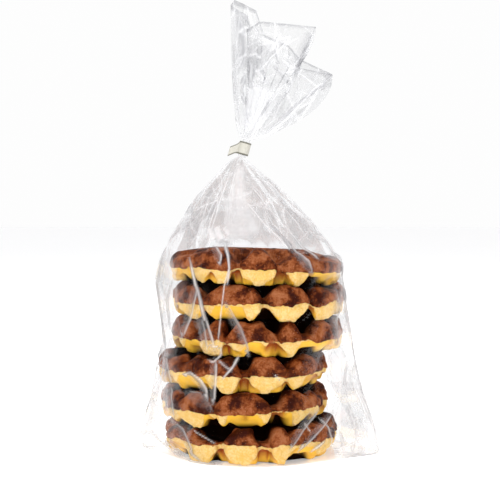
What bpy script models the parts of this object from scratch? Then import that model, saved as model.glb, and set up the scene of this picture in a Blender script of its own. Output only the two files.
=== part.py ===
"""Clear cellophane bag that holds a stack of six chocolate-dipped waffles, closed with a strip tie.

The bag is one solid out to the outer face of its film. It stands on its flat bottom with the
origin at the middle of that bottom, +X along the wide side and +Z up. All lengths are in metres.
"""

import math

import bmesh
import bpy
from mathutils import Vector

# Driving dimensions of the bag.
COLUMNS = 72  # points round each level of the film, the first at the right edge, even for the left one
PLEATS = 12
PLEAT_DEPTH = 0.0022
PLEATS_START = 0.090
NECK_RADIUS = 0.0022
NECK_LOW = Vector((-0.0078, 0.0, 0.1640))
NECK_HIGH = Vector((-0.0052, 0.0, 0.1738))
BASE_TURN = math.radians(-11)  # the flattened corners of the base, seen from above
BASE_TURN_TOP = 0.060  # the height at which that turn has died out

# Height of a level, left edge, right edge, middle of the round part, and half its depth.
BAG_LEVELS = (
    (0.0000, -0.0682, 0.0690, 0.0000, 0.0475),
    (0.0025, -0.0697, 0.0708, 0.0000, 0.0492),
    (0.0130, -0.0660, 0.0696, -0.0008, 0.0500),
    (0.0300, -0.0594, 0.0645, -0.0030, 0.0500),
    (0.0440, -0.0562, 0.0592, -0.0038, 0.0500),
    (0.0560, -0.0540, 0.0568, -0.0030, 0.0500),
    (0.0670, -0.0528, 0.0553, 0.0002, 0.0500),
    (0.0815, -0.0544, 0.0525, 0.0012, 0.0500),
    (0.0960, -0.0561, 0.0498, 0.0008, 0.0500),
    (0.1050, -0.0542, 0.0482, -0.0008, 0.0498),
    (0.1120, -0.0510, 0.0448, -0.0025, 0.0480),
    (0.1240, -0.0448, 0.0360, -0.0048, 0.0405),
    (0.1375, -0.0364, 0.0250, -0.0058, 0.0300),
    (0.1500, -0.0255, 0.0120, -0.0068, 0.0185),
    (0.1590, -0.0172, 0.0005, -0.0084, 0.0085),
    (0.1620, -0.0140, -0.0030, -0.0088, 0.0050),
)
BAG_RINGS = (
    0.0, 0.0025, 0.008, 0.014, 0.021, 0.028, 0.036, 0.044, 0.053, 0.062, 0.071, 0.080, 0.088, 0.096,
    0.102, 0.107, 0.112, 0.117, 0.122, 0.127, 0.132, 0.137, 0.142, 0.147, 0.152, 0.157, 0.162,
)  # fmt: skip

# The bag's open mouth above the tie: the column of each corner, where it is, and how its film
# gets there, below 1 rising first and then spreading, above 1 spreading first.
MOUTH_CORNERS = (
    (0, (0.0445, 0.0060, 0.2105), 1.15),  # right leaf
    (5, (0.0275, 0.0120, 0.2190), 1.15),
    (12, (0.0200, 0.0190, 0.2280), 1.10),  # back leaf
    (19, (0.0060, 0.0120, 0.2330), 1.20),
    (25, (0.0010, 0.0130, 0.2475), 1.40),  # back left leaf
    (31, (-0.0060, 0.0080, 0.2507), 1.80),
    (35, (-0.0112, 0.0010, 0.2515), 2.00),  # left leaf, the highest point
    (37, (-0.0136, -0.0020, 0.2480), 2.00),
    (42, (-0.0045, -0.0080, 0.2420), 1.40),
    (47, (-0.0035, -0.0150, 0.2330), 1.10),  # front leaf
    (52, (0.0040, -0.0070, 0.2385), 0.90),
    (64, (0.0340, -0.0110, 0.2350), 0.65),  # middle leaf
    (68, (0.0250, -0.0020, 0.2140), 0.90),
)
MOUTH_FLOOR = (0.0060, 0.0010, 0.2050)
FAN_RINGS = 14
FAN_PLEATS = 36
FAN_PLEAT_DEPTH = 0.0010

# Driving dimensions of the tie, a strip bent round the neck whose two ends lie side by side.
TIE_WIDTH = 0.0072
TIE_THICKNESS = 0.0006
TIE_BEND_RADIUS = 0.0029  # to the middle of the strip's thickness
TIE_TAIL_REACH = 0.0092
TIE_TAIL_GAP = 0.0010  # between the middles of the two ends
TIE_TAIL_DROP = math.tan(math.radians(24))
TIE_ARC_POINTS = 28

FILM_COLOUR = (0.90, 0.91, 0.92, 1.0)
TIE_COLOUR = (0.90, 0.88, 0.80, 1.0)


def clear_scene():
    """Removes every object that the file opened with."""
    for old in list(bpy.data.objects):
        bpy.data.objects.remove(old, do_unlink=True)


def new_collection(name):
    """A collection linked to the scene."""
    collection = bpy.data.collections.new(name)
    bpy.context.scene.collection.children.link(collection)
    return collection


def material(name, colour, roughness, alpha=1.0):
    """A plain Principled material."""
    made = bpy.data.materials.new(name)
    made.use_nodes = True
    shader = made.node_tree.nodes["Principled BSDF"]
    shader.inputs["Base Color"].default_value = colour
    shader.inputs["Roughness"].default_value = roughness
    shader.inputs["Alpha"].default_value = alpha
    return made


def smooth_levels(height):
    """The bag's left edge, right edge, middle and half depth at a height, on a smooth curve."""
    levels = BAG_LEVELS
    last = len(levels) - 1
    low = max(i for i in range(last) if levels[i][0] <= height)
    share = (height - levels[low][0]) / (levels[low + 1][0] - levels[low][0])
    return [hermite(levels, low, last, column, share) for column in range(1, 5)]


def hermite(levels, low, last, column, share):
    """One column of the levels between rows low and low + 1, with a slope limited at each row."""
    start, end = levels[low], levels[low + 1]
    span = end[0] - start[0]
    first = level_slope(levels, low, last, column) * span
    second = level_slope(levels, low + 1, last, column) * span
    change = end[column] - start[column]
    square, cube = share**2, share**3
    return (
        start[column]
        + first * (cube - 2 * square + share)
        + change * (3 * square - 2 * cube)
        + second * (cube - square)
    )


def level_slope(levels, row, last, column):
    """The slope of a column at a row: the smaller of its neighbours', or none at a turn."""
    if row in (0, last):
        other = 1 if row == 0 else last - 1
        return (levels[row][column] - levels[other][column]) / (levels[row][0] - levels[other][0])
    below = (levels[row][column] - levels[row - 1][column]) / (levels[row][0] - levels[row - 1][0])
    above = (levels[row + 1][column] - levels[row][column]) / (levels[row + 1][0] - levels[row][0])
    if below * above <= 0:
        return 0.0
    return math.copysign(min(abs(below), abs(above), abs(below + above) / 2), below)


def taut_reach(angle, radius, edge):
    """How far film reaches at an angle from its edge, drawn tight from a round of this radius."""
    if edge <= radius:
        return edge / math.hypot(math.cos(angle), math.sin(angle) * edge / radius)
    leaves = math.acos(radius / edge)
    off = abs(math.atan2(math.sin(angle), math.cos(angle)))
    return radius / math.cos(leaves - off) if off < leaves else radius


def pleat(column, count):
    """A crease wave from -1 in a valley to 1 on a ridge, with count ridges in all."""
    phase = (column * count / COLUMNS) % 1.0
    return 1 - 4 * min(phase, 1 - phase)


def bag_ring(height):
    """The points of the film at one level below the tie."""
    left, right, middle, half_depth = smooth_levels(height)
    turn = BASE_TURN * max(1 - height / BASE_TURN_TOP, 0.0)
    gathered = min(max((height - PLEATS_START) / (BAG_RINGS[-1] - PLEATS_START), 0.0), 1.0)
    depth = PLEAT_DEPTH * math.sin(math.pi * gathered) ** 0.8
    points = []
    for column in range(COLUMNS):
        angle = 2 * math.pi * column / COLUMNS
        facing_right = math.cos(angle) >= 0
        edge = right - middle if facing_right else middle - left
        off_axis = angle if facing_right else math.pi - angle
        reach = taut_reach(off_axis, half_depth, edge) + depth * (pleat(column, PLEATS) - 0.5)
        x, y = middle + reach * math.cos(angle), reach * math.sin(angle)
        points.append((
            x * math.cos(turn) - y * math.sin(turn),
            x * math.sin(turn) + y * math.cos(turn),
            height,
        ))
    return points


def neck_ring(centre):
    """The points of the gathered film inside the tie, square to the leaning neck."""
    lean = (NECK_HIGH.x - NECK_LOW.x) / (NECK_HIGH.z - NECK_LOW.z)
    points = []
    for column in range(COLUMNS):
        angle = 2 * math.pi * column / COLUMNS
        across = NECK_RADIUS * math.cos(angle)
        back = NECK_RADIUS * math.sin(angle)
        points.append((centre.x + across, centre.y + back, centre.z - lean * across))
    return points


def mouth_point(column):
    """The point of the bag's mouth in a column, on the edge between two corners, and its rise."""
    first = MOUTH_CORNERS[0]
    corners = MOUTH_CORNERS + ((COLUMNS, *first[1:]),)
    for (start, low, low_rise), (end, high, high_rise) in zip(corners, corners[1:]):
        if start <= column < end:
            share = (column - start) / (end - start)
            return Vector(low).lerp(Vector(high), share), low_rise + (high_rise - low_rise) * share
    raise ValueError(column)


def fan_ring(share):
    """The points of the film above the tie, from the neck at share 0 to the mouth at share 1."""
    spread = 1 - (1 - share) ** 2
    points = []
    for column, start in enumerate(neck_ring(NECK_HIGH)):
        end, rise = mouth_point(column)
        point = Vector(start).lerp(end, spread)
        point.z = start[2] + (end.z - start[2]) * share**rise
        outward = Vector((point.x - NECK_HIGH.x, point.y, 0.0)).normalized()
        point += outward * FAN_PLEAT_DEPTH * math.sin(math.pi * share) * pleat(column, FAN_PLEATS)
        points.append(tuple(point))
    return points


def loft(name, rings, top):
    """A closed mesh through rings of equal length, flat below and drawn in to one point above."""
    build = bmesh.new()
    rows = [[build.verts.new(point) for point in ring] for ring in rings]
    count = len(rows[0])
    for lower, upper in zip(rows, rows[1:]):
        for i in range(count):
            j = (i + 1) % count
            build.faces.new((lower[i], lower[j], upper[j]))
            build.faces.new((lower[i], upper[j], upper[i]))
    build.faces.new(list(reversed(rows[0])))
    peak = build.verts.new(top)
    for i in range(count):
        build.faces.new((rows[-1][i], rows[-1][(i + 1) % count], peak))
    mesh = bpy.data.meshes.new(name)
    build.to_mesh(mesh)
    build.free()
    return mesh


def add_bag(collection):
    """The filled bag, from its flat bottom through the tied neck to its fanned mouth."""
    rings = [bag_ring(height) for height in BAG_RINGS]
    rings += [neck_ring(NECK_LOW), neck_ring(NECK_HIGH)]
    rings += [fan_ring((step + 1) / FAN_RINGS) for step in range(FAN_RINGS)]
    bag = bpy.data.objects.new("bag", loft("bag", rings, MOUTH_FLOOR))
    bag.data.materials.append(material("cellophane", FILM_COLOUR, 0.08, alpha=0.35))
    collection.objects.link(bag)
    return bag


def tie_path():
    """The middle line of the strip, seen along the neck: one end, round the neck, and the other end."""
    side = TIE_TAIL_GAP / 2
    opening = math.asin(side / TIE_BEND_RADIUS)
    turn = 2 * (math.pi - opening)
    arc = [opening - math.pi + turn * step / TIE_ARC_POINTS for step in range(TIE_ARC_POINTS + 1)]
    bend = [(TIE_BEND_RADIUS * math.cos(a), TIE_BEND_RADIUS * math.sin(a)) for a in arc]
    return [(-TIE_TAIL_REACH, -side), *bend, (-TIE_TAIL_REACH, side)]


def add_tie(collection):
    """The strip round the neck, with the two ends that lie side by side sloping down to the left."""
    build = bmesh.new()
    line = []
    for x, y in tie_path():
        drop = TIE_TAIL_DROP * max(-x - TIE_BEND_RADIUS, 0.0)
        line.append(build.verts.new((x, y, -drop - TIE_WIDTH / 2)))
    edges = [build.edges.new(pair) for pair in zip(line, line[1:])]
    raised = bmesh.ops.extrude_edge_only(build, edges=edges)["geom"]
    upper = [part for part in raised if isinstance(part, bmesh.types.BMVert)]
    bmesh.ops.translate(build, verts=upper, vec=(0.0, 0.0, TIE_WIDTH))
    mesh = bpy.data.meshes.new("tie")
    build.to_mesh(mesh)
    build.free()
    tie = bpy.data.objects.new("tie", mesh)
    tie.location = (NECK_LOW + NECK_HIGH) / 2
    tie.rotation_euler = (0.0, math.atan2(NECK_HIGH.x - NECK_LOW.x, NECK_HIGH.z - NECK_LOW.z), 0.0)
    thickness = tie.modifiers.new("thickness", "SOLIDIFY")
    thickness.thickness = TIE_THICKNESS
    thickness.offset = 0.0
    thickness.use_even_offset = True
    mesh.materials.append(material("tie_strip", TIE_COLOUR, 0.5))
    collection.objects.link(tie)
    return tie


def centre_over_origin(bag, followers):
    """Moves the bag and what is on it so that the middle of its outline is on the Z axis."""
    xs = [vertex.co.x for vertex in bag.data.vertices]
    ys = [vertex.co.y for vertex in bag.data.vertices]
    middle = Vector((min(xs) + max(xs), min(ys) + max(ys), 0.0)) / 2
    for thing in (bag, *followers):
        thing.location -= middle


def main():
    """Builds the bag and its tie."""
    clear_scene()
    parts = new_collection("bag_of_waffles")
    bag = add_bag(parts)
    tie = add_tie(parts)
    centre_over_origin(bag, (tie,))


main()
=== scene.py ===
"""Looks of a clear bag that holds a stack of six thick waffles dipped in chocolate.

The frame's solid of the filled bag is replaced by its film and by the waffles inside, and the
strip round the neck by a strip with rounded edges. All lengths are in metres, +Z is up.
"""

import logging
import math
from dataclasses import dataclass, field
from enum import Enum
from typing import Union

import bmesh
import bpy
import numpy as np
from mathutils import Euler, Matrix, Vector
from mathutils.geometry import delaunay_2d_cdt


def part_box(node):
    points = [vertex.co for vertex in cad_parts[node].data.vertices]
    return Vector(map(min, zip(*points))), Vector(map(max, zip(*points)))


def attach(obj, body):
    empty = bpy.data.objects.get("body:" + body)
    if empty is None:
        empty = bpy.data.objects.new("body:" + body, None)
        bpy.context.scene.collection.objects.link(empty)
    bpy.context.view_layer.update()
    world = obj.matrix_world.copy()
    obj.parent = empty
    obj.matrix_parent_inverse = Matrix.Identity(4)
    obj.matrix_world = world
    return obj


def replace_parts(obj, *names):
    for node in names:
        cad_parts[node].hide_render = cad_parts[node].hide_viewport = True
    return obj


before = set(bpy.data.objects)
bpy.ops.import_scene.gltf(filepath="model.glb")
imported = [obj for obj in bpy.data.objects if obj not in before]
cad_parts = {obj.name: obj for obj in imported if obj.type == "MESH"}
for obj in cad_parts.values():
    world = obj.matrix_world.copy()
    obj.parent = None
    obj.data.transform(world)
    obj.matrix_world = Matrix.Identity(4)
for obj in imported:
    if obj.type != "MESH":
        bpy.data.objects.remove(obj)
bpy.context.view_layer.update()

log = logging.getLogger("scene")
Linear = tuple[float, float, float]
BODY = "root"
MM = 0.001
NECK_LOW = (-0.0070, 0.0, 0.1640)
NECK_HIGH = (-0.0042, 0.0, 0.1738)


# Shader expressions


class Socket:
    """One output of a shader node, which Python expressions can use."""

    def __init__(self, tree: "NodeTree", output: bpy.types.NodeSocket) -> None:
        """Keeps the tree that the output belongs to, and the output."""
        self.tree = tree
        self.output = output

    def _math(self, operation: str, first: "Input", second: "Input") -> "Socket":
        """Adds a Math node for one operator."""
        return self.tree.node("ShaderNodeMath", {"operation": operation}, {0: first, 1: second})

    def __add__(self, other: "Input") -> "Socket":
        """This value and the other added."""
        return self._math("ADD", self, other)

    def __radd__(self, other: "Input") -> "Socket":
        """The other value and this one added."""
        return self._math("ADD", other, self)

    def __sub__(self, other: "Input") -> "Socket":
        """This value less the other."""
        return self._math("SUBTRACT", self, other)

    def __rsub__(self, other: "Input") -> "Socket":
        """The other value less this one."""
        return self._math("SUBTRACT", other, self)

    def __mul__(self, other: "Input") -> "Socket":
        """This value times the other."""
        return self._math("MULTIPLY", self, other)

    def __rmul__(self, other: "Input") -> "Socket":
        """The other value times this one."""
        return self._math("MULTIPLY", other, self)


Input = Union[Socket, float, int, tuple]


class NodeTree:
    """A material's or a world's nodes, emptied, with one method that adds any node."""

    def __init__(self, tree: bpy.types.NodeTree) -> None:
        """Empties the tree."""
        self.tree = tree
        tree.nodes.clear()

    def node(self, kind: str, settings: dict | None = None, inputs: dict | None = None,
             output: int | str = 0) -> Socket | None:
        """Adds a node.

        Args:
            kind: the node's type.
            settings: the node's properties, such as a Math node's operation.
            inputs: the value or the link of each socket, by name or number.
            output: the output to hand back.

        Returns:
            The chosen output, or nothing where the node has none.
        """
        made = self.tree.nodes.new(kind)
        for name, value in (settings or {}).items():
            setattr(made, name, value)
        for name, value in (inputs or {}).items():
            if isinstance(value, Socket):
                self.tree.links.new(value.output, made.inputs[name])
            else:
                made.inputs[name].default_value = value
        return Socket(self, made.outputs[output]) if made.outputs else None

    def place(self) -> Socket:
        """The point being shaded, in metres."""
        return self.node("ShaderNodeTexCoord", output="Object")

    def attribute(self, name: str) -> Socket:
        """A number that the mesh keeps at its points."""
        return self.node("ShaderNodeAttribute", {"attribute_name": name}, output="Fac")

    def noise(self, size: float, detail: float = 2.0, roughness: float = 0.5,
              shift: float = 0.0) -> Socket:
        """Smooth noise from 0 to 1.

        Args:
            size: the size of its largest lumps.
            detail: how many finer layers it has.
            roughness: how strong the finer layers are.
            shift: moves the pattern, so that two of one size differ.

        Returns:
            The noise.
        """
        point = self.node("ShaderNodeMapping", inputs={
            "Vector": self.place(), "Scale": (1.0 / size,) * 3,
            "Location": (shift, shift * 0.7, -shift)})
        return self.node("ShaderNodeTexNoise", inputs={
            "Vector": point, "Scale": 1.0, "Detail": detail, "Roughness": roughness})

    def step(self, value: Input, low: float, high: float) -> Socket:
        """A smooth step from 0 at low to 1 at high."""
        return self.node("ShaderNodeMapRange", {"interpolation_type": "SMOOTHSTEP"},
                         {"Value": value, "From Min": low, "From Max": high})

    def mix(self, factor: Input, first: Input, second: Input) -> Socket:
        """Mixes two colours."""
        first, second = ((*c, 1.0) if isinstance(c, tuple) else c for c in (first, second))
        return self.node("ShaderNodeMix", {"data_type": "RGBA"},
                         {0: factor, 6: first, 7: second}, output=2)

    def bump(self, height: Socket, depth: float) -> Socket:
        """A normal for bumps of a height from 0 to 1 that are depth deep."""
        return self.node("ShaderNodeBump", inputs={
            "Height": height, "Distance": depth, "Strength": 1.0})

    def matt(self, colour: Linear) -> Socket:
        """A plain matt shader."""
        return self.node("ShaderNodeBsdfDiffuse", inputs={"Color": (*colour, 1.0)})

    def blend(self, factor: Input, first: Socket, second: Socket) -> Socket:
        """Mixes two shaders."""
        return self.node("ShaderNodeMixShader", inputs={0: factor, 1: first, 2: second})

    def show(self, shader: Socket, kind: str = "ShaderNodeOutputMaterial") -> None:
        """Sends a shader to the output."""
        self.node(kind, inputs={"Surface": shader})


def new_material(name: str) -> tuple[bpy.types.Material, NodeTree]:
    """A material with an empty tree.

    Args:
        name: the material's name.

    Returns:
        The material and its tree.
    """
    material = bpy.data.materials.new(name)
    material.use_nodes = True
    return material, NodeTree(material.node_tree)


# Finishes


@dataclass(frozen=True)
class CrumbFinish:
    """Sugar waffle: pale rough crumb round the rim, smooth golden slopes that touched the irons."""

    crumb: Linear = (0.84, 0.53, 0.13)
    crumb_light: Linear = (0.91, 0.65, 0.28)
    golden: Linear = (0.90, 0.52, 0.045)
    # Deeper brown towards the pockets' floors: partly real browning, partly painted shade.
    deep: Linear = (0.34, 0.065, 0.006)
    # Near-black painted shade for the crumb far inside the rim, between the waffles.
    painted_shade: Linear = (0.006, 0.002, 0.001)
    mottle: float = 4.5 * MM
    grain: float = 0.9 * MM
    relief: float = 1.1 * MM
    glow: float = 0.12
    glow_colour: Linear = (1.0, 0.55, 0.2)
    glow_reach: float = 1.6 * MM

    def colour(self, tree: NodeTree, rough: Socket, mottle: Socket, fine: Socket) -> Socket:
        """The colour: pale crumb, golden slopes darkening into the pockets partly with painted shade.

        Args:
            tree: the material's nodes.
            rough: where the crumb is rough, from 0 to 1.
            mottle: the broad noise.
            fine: the grain.

        Returns:
            The colour.
        """
        # Towards the pockets the slopes darken: partly real browning, partly painted shade.
        smooth = tree.step(tree.attribute("pocket") + mottle * 0.5, 0.35, 1.15)
        smooth = tree.mix(smooth, self.golden, self.deep)
        smooth = tree.mix(tree.step(mottle, 0.45, 0.8) * 0.3, smooth, self.crumb)
        pale = tree.step(fine * 0.6 + mottle * 0.4, 0.42, 0.58)
        pale = tree.mix(pale, self.crumb, self.crumb_light)
        return tree.mix(tree.step(rough + mottle * 0.3, 0.35, 0.75), smooth, pale)

    def material(self) -> bpy.types.Material:
        """Builds the finish from shader nodes.

        Returns:
            The finished material.
        """
        material, tree = new_material("waffle_crumb")
        rough = tree.attribute("crumb")
        mottle = tree.noise(self.mottle, 3.0, 0.6)
        fine = tree.noise(self.grain, 3.0, 0.65, shift=3.1)
        shader = tree.node("ShaderNodeBsdfPrincipled", inputs={
            "Base Color": self.colour(tree, rough, mottle, fine),
            "Roughness": tree.step(rough, 0.0, 1.0) * 0.35 + 0.5,
            "Normal": tree.bump(fine * (0.25 + rough * 0.75), self.relief),
            "Specular IOR Level": 0.3,
            "Subsurface Weight": self.glow,
            "Subsurface Radius": self.glow_colour,
            "Subsurface Scale": self.glow_reach,
        })
        # Painted shade: points far inside the rim turn nearly black.
        painted_shade = tree.step(tree.attribute("inside"), 0.0, 0.8)
        tree.show(tree.blend(painted_shade, shader, tree.matt(self.painted_shade)))
        return material


@dataclass(frozen=True)
class ChocolateFinish:
    """Milk chocolate coat: satin, grainy where the crumb shows through, with a little lighter
    blooming that is partly a painted highlight, and random patches of painted shade.
    """

    # The milk colour, a near-black brown that paints shade, and a lighter colour that is partly blooming and
    # partly a painted highlight.
    milk: Linear = (0.225, 0.050, 0.009)
    painted_shade_brown: Linear = (0.034, 0.004, 0.0008)
    bloom_and_highlight: Linear = (0.43, 0.17, 0.075)
    # Near-black painted shade for the coat far inside the rim, between the waffles.
    painted_shade: Linear = (0.004, 0.0012, 0.0006)
    patch: float = 8.0 * MM
    grain: float = 1.1 * MM
    speck: float = 0.9 * MM
    relief: float = 0.5 * MM
    shine: float = 0.07

    def material(self) -> bpy.types.Material:
        """Builds the finish from shader nodes.

        Returns:
            The finished material.
        """
        material, tree = new_material("milk_chocolate")
        patches = tree.noise(self.patch, 2.0, 0.55)
        grain = tree.noise(self.grain, 3.0, 0.7, shift=1.7)
        specks = tree.noise(self.speck, 1.0, 0.4, shift=9.2)
        # Random patches of painted shade, and lighter patches and specks that are partly blooming and partly
        # painted highlights.
        light = tree.step(patches * 0.7 + grain * 0.3, 0.39, 0.57)
        bloom_and_highlight_share = tree.step(grain * 0.4 + patches * 0.6, 0.48, 0.66) * 0.7
        colour = tree.mix(light, self.painted_shade_brown, self.milk)
        colour = tree.mix(bloom_and_highlight_share, colour, self.bloom_and_highlight)
        colour = tree.mix(tree.step(specks, 0.70, 0.78) * 0.5, colour, self.bloom_and_highlight)
        shader = tree.node("ShaderNodeBsdfPrincipled", inputs={
            "Base Color": colour,
            "Roughness": 0.36 + grain * 0.3,
            "Normal": tree.bump(grain * 0.7 + patches * 0.3, self.relief),
            "Specular IOR Level": self.shine,
        })
        # Painted shade: points far inside the rim turn nearly black.
        painted_shade = tree.step(tree.attribute("inside"), 0.0, 0.9)
        tree.show(tree.blend(painted_shade, shader, tree.matt(self.painted_shade)))
        return material


@dataclass(frozen=True)
class FilmFinish:
    """Clear cellophane: clear face on, painted grey on turned facets, painted white glints on sharp creases.
    """

    tint: Linear = (0.988, 0.989, 0.991)
    # The grey of the painted reflections, and the white of the gloss and of the painted glints.
    grey: Linear = (0.41, 0.41, 0.425)
    white: Linear = (0.97, 0.97, 0.98)
    face_on: float = 0.045
    gain: float = 1.7
    most: float = 0.30
    index: float = 1.5
    roughness: float = 0.16
    patch: float = 5.0 * MM
    ripple: float = 9.0 * MM
    ripple_depth: float = 0.12 * MM

    def painted_light_shader(self, tree: NodeTree, colour: Linear) -> Socket:
        """A matt shader lit from both sides that paints the film's grey reflections and white glints."""
        through = tree.node("ShaderNodeBsdfTranslucent", inputs={"Color": (*colour, 1.0)})
        return tree.blend(0.5, tree.matt(colour), through)

    def material(self) -> bpy.types.Material:
        """Builds the finish from shader nodes.

        Returns:
            The finished material.
        """
        material, tree = new_material("cellophane")
        patchy = tree.noise(self.patch, 2.0, 0.5)
        normal = tree.bump(tree.noise(self.ripple, 1.0, 0.5, shift=4.2), self.ripple_depth)
        fresnel = tree.node("ShaderNodeFresnel", inputs={"IOR": self.index, "Normal": normal})
        mirrored = tree.node("ShaderNodeClamp", inputs={
            "Value": (fresnel - self.face_on) * self.gain, "Max": self.most})
        clear = tree.node("ShaderNodeBsdfTransparent", inputs={"Color": (*self.tint, 1.0)})
        gloss = tree.node("ShaderNodeBsdfGlossy", inputs={
            "Color": (*self.white, 1.0), "Roughness": self.roughness, "Normal": normal})
        shader = tree.blend(mirrored, clear, gloss)
        # Painted grey reflection and painted white glints, as the numbers kept at the film's points set
        # them.
        painted_grey = tree.attribute("painted_grey") * (patchy + 0.5)
        shader = tree.blend(painted_grey, shader, self.painted_light_shader(tree, self.grey))
        line = tree.attribute("line") * (patchy * 0.8 + 0.6)
        tree.show(tree.blend(line, shader, self.painted_light_shader(tree, self.white)))
        return material


@dataclass(frozen=True)
class StripFinish:
    """Off-white plastic strip, a little translucent, darker along both long edges."""

    face: Linear = (0.53, 0.515, 0.46)
    shade: Linear = (0.44, 0.425, 0.36)
    edge: Linear = (0.13, 0.125, 0.095)
    grain: float = 1.2 * MM
    relief: float = 0.06 * MM

    def material(self) -> bpy.types.Material:
        """Builds the finish from shader nodes.

        Returns:
            The finished material.
        """
        material, tree = new_material("tie_strip")
        grain = tree.noise(self.grain, 2.0, 0.5)
        colour = tree.mix(grain, self.face, self.shade)
        colour = tree.mix(tree.step(tree.attribute("edge"), 0.3, 0.9), colour, self.edge)
        tree.show(tree.node("ShaderNodeBsdfPrincipled", inputs={
            "Base Color": colour, "Roughness": 0.38 + grain * 0.15,
            "Normal": tree.bump(grain, self.relief)}))
        return material


# Number helpers


def smoothstep(low: float, high: float, value: np.ndarray) -> np.ndarray:
    """A smooth step from 0 at low to 1 at high."""
    share = np.clip((value - low) / (high - low), 0.0, 1.0)
    return share * share * (3.0 - 2.0 * share)


class Grain:
    """Repeatable smooth noise from -1 to 1 over points in space."""

    def __init__(self, seed: int) -> None:
        """Keeps the seed that sets the pattern."""
        self.seed = seed

    def _corner(self, cells: np.ndarray) -> np.ndarray:
        """A repeatable number from -1 to 1 for each whole-numbered cell.

        Args:
            cells: the cells, as xyz.

        Returns:
            The numbers.
        """
        keys = np.array([73856093, 19349663, 83492791], dtype=np.uint64)
        mixed = (cells.astype(np.int64).astype(np.uint64) * keys).sum(axis=1, dtype=np.uint64)
        mixed = mixed + np.uint64(self.seed * 7919 + 17)
        for shift, factor in ((13, 1274126177), (16, 2246822519), (15, 3266489917)):
            mixed = (mixed ^ (mixed >> np.uint64(shift))) * np.uint64(factor)
            mixed = mixed & np.uint64(0xFFFFFFFF)
        return (mixed & np.uint64(0xFFFF)).astype(float) / 32767.5 - 1.0

    def layer(self, points: np.ndarray, size: float) -> np.ndarray:
        """One layer of noise.

        Args:
            points: the points, as xyz.
            size: the lumps' size.

        Returns:
            The noise from -1 to 1.
        """
        scaled = points / size
        base = np.floor(scaled)
        share = scaled - base
        share = share * share * share * (share * (share * 6.0 - 15.0) + 10.0)
        total = np.zeros(len(points))
        for corner in range(8):
            offset = np.array([corner & 1, corner >> 1 & 1, corner >> 2 & 1])
            weight = np.prod(np.where(offset == 1, share, 1.0 - share), axis=1)
            total += weight * self._corner(base + offset)
        return total

    def __call__(self, points: np.ndarray, size: float, layers: int = 1) -> np.ndarray:
        """Noise with finer layers added, each half the size and half as strong."""
        return sum(Grain(self.seed + n).layer(points, size / 2**n) / 2**n for n in range(layers))


# Mesh helpers


def grid_mesh(name: str, rows: np.ndarray, cap_ends: bool = False) -> bpy.types.Mesh:
    """A mesh of quads through closed rings of points.

    Args:
        name: the mesh's name.
        rows: points as (ring, place in the ring, xyz).
        cap_ends: closes the first and the last ring to their middles.

    Returns:
        The mesh.
    """
    rings, count, _ = rows.shape
    points = rows.reshape(-1, 3)
    index = np.arange(rings * count).reshape(rings, count)
    after = np.roll(index, -1, axis=1)
    quads = np.stack([index[:-1], after[:-1], after[1:], index[1:]], axis=-1).reshape(-1, 4)
    faces = quads.tolist()
    if cap_ends:
        points = np.vstack([points, rows[0].mean(axis=0), rows[-1].mean(axis=0)])
        low, high = rings * count, rings * count + 1
        faces += [(low, b, a) for a, b in zip(index[0].tolist(), after[0].tolist())]
        faces += [(high, a, b) for a, b in zip(index[-1].tolist(), after[-1].tolist())]
    mesh = bpy.data.meshes.new(name)
    mesh.from_pydata(points.tolist(), [], faces)
    return mesh


def points_of(mesh: bpy.types.Mesh) -> np.ndarray:
    """Reads where a mesh's points are.

    Args:
        mesh: the mesh.

    Returns:
        Its points, as xyz.
    """
    flat = np.empty(len(mesh.vertices) * 3, dtype=np.float32)
    mesh.vertices.foreach_get("co", flat)
    return flat.reshape(-1, 3).astype(float)


def normals_of(mesh: bpy.types.Mesh) -> np.ndarray:
    """Reads a mesh's normals.

    Args:
        mesh: the mesh.

    Returns:
        The normals at its points, as xyz.
    """
    flat = np.empty(len(mesh.vertices) * 3, dtype=np.float32)
    mesh.vertex_normals.foreach_get("vector", flat)
    return flat.reshape(-1, 3).astype(float)


def move_points(mesh: bpy.types.Mesh, points: np.ndarray) -> None:
    """Gives the mesh's points new places."""
    mesh.vertices.foreach_set("co", points.astype(np.float32).ravel())
    mesh.update()


def keep_number(mesh: bpy.types.Mesh, name: str, values: np.ndarray) -> None:
    """Stores a number at each point for the shader."""
    attribute = mesh.attributes.new(name, "FLOAT", "POINT")
    attribute.data.foreach_set("value", values.astype(np.float32))


def remeshed(mesh: bpy.types.Mesh, voxel: float) -> bpy.types.Mesh:
    """Rebuilds a mesh from even quads.

    Args:
        mesh: a closed mesh, which is used up.
        voxel: the size of the new faces.

    Returns:
        The new mesh.
    """
    holder = bpy.data.objects.new("holder", mesh)
    bpy.context.scene.collection.objects.link(holder)
    voxels = holder.modifiers.new("voxels", "REMESH")
    voxels.mode = "VOXEL"
    voxels.voxel_size = voxel
    evaluated = holder.evaluated_get(bpy.context.evaluated_depsgraph_get())
    made = bpy.data.meshes.new_from_object(evaluated)
    bpy.data.objects.remove(holder)
    bpy.data.meshes.remove(mesh)
    return made


def relaxed(mesh: bpy.types.Mesh, rounds: int, share: float = 0.5) -> None:
    """Moves each point towards the middle of its neighbours, which takes out the voxels' steps.

    Args:
        mesh: the mesh.
        rounds: how often they move.
        share: how much of the way they move.
    """
    edges = np.empty(len(mesh.edges) * 2, dtype=np.int32)
    mesh.edges.foreach_get("vertices", edges)
    first, second = edges.reshape(-1, 2).T
    points = points_of(mesh)
    degree = np.bincount(edges, minlength=len(points))[:, None]
    for _ in range(rounds):
        total = np.zeros_like(points)
        np.add.at(total, first, points[second])
        np.add.at(total, second, points[first])
        points = points * (1.0 - share) + total / degree * share
    move_points(mesh, points)


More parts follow.
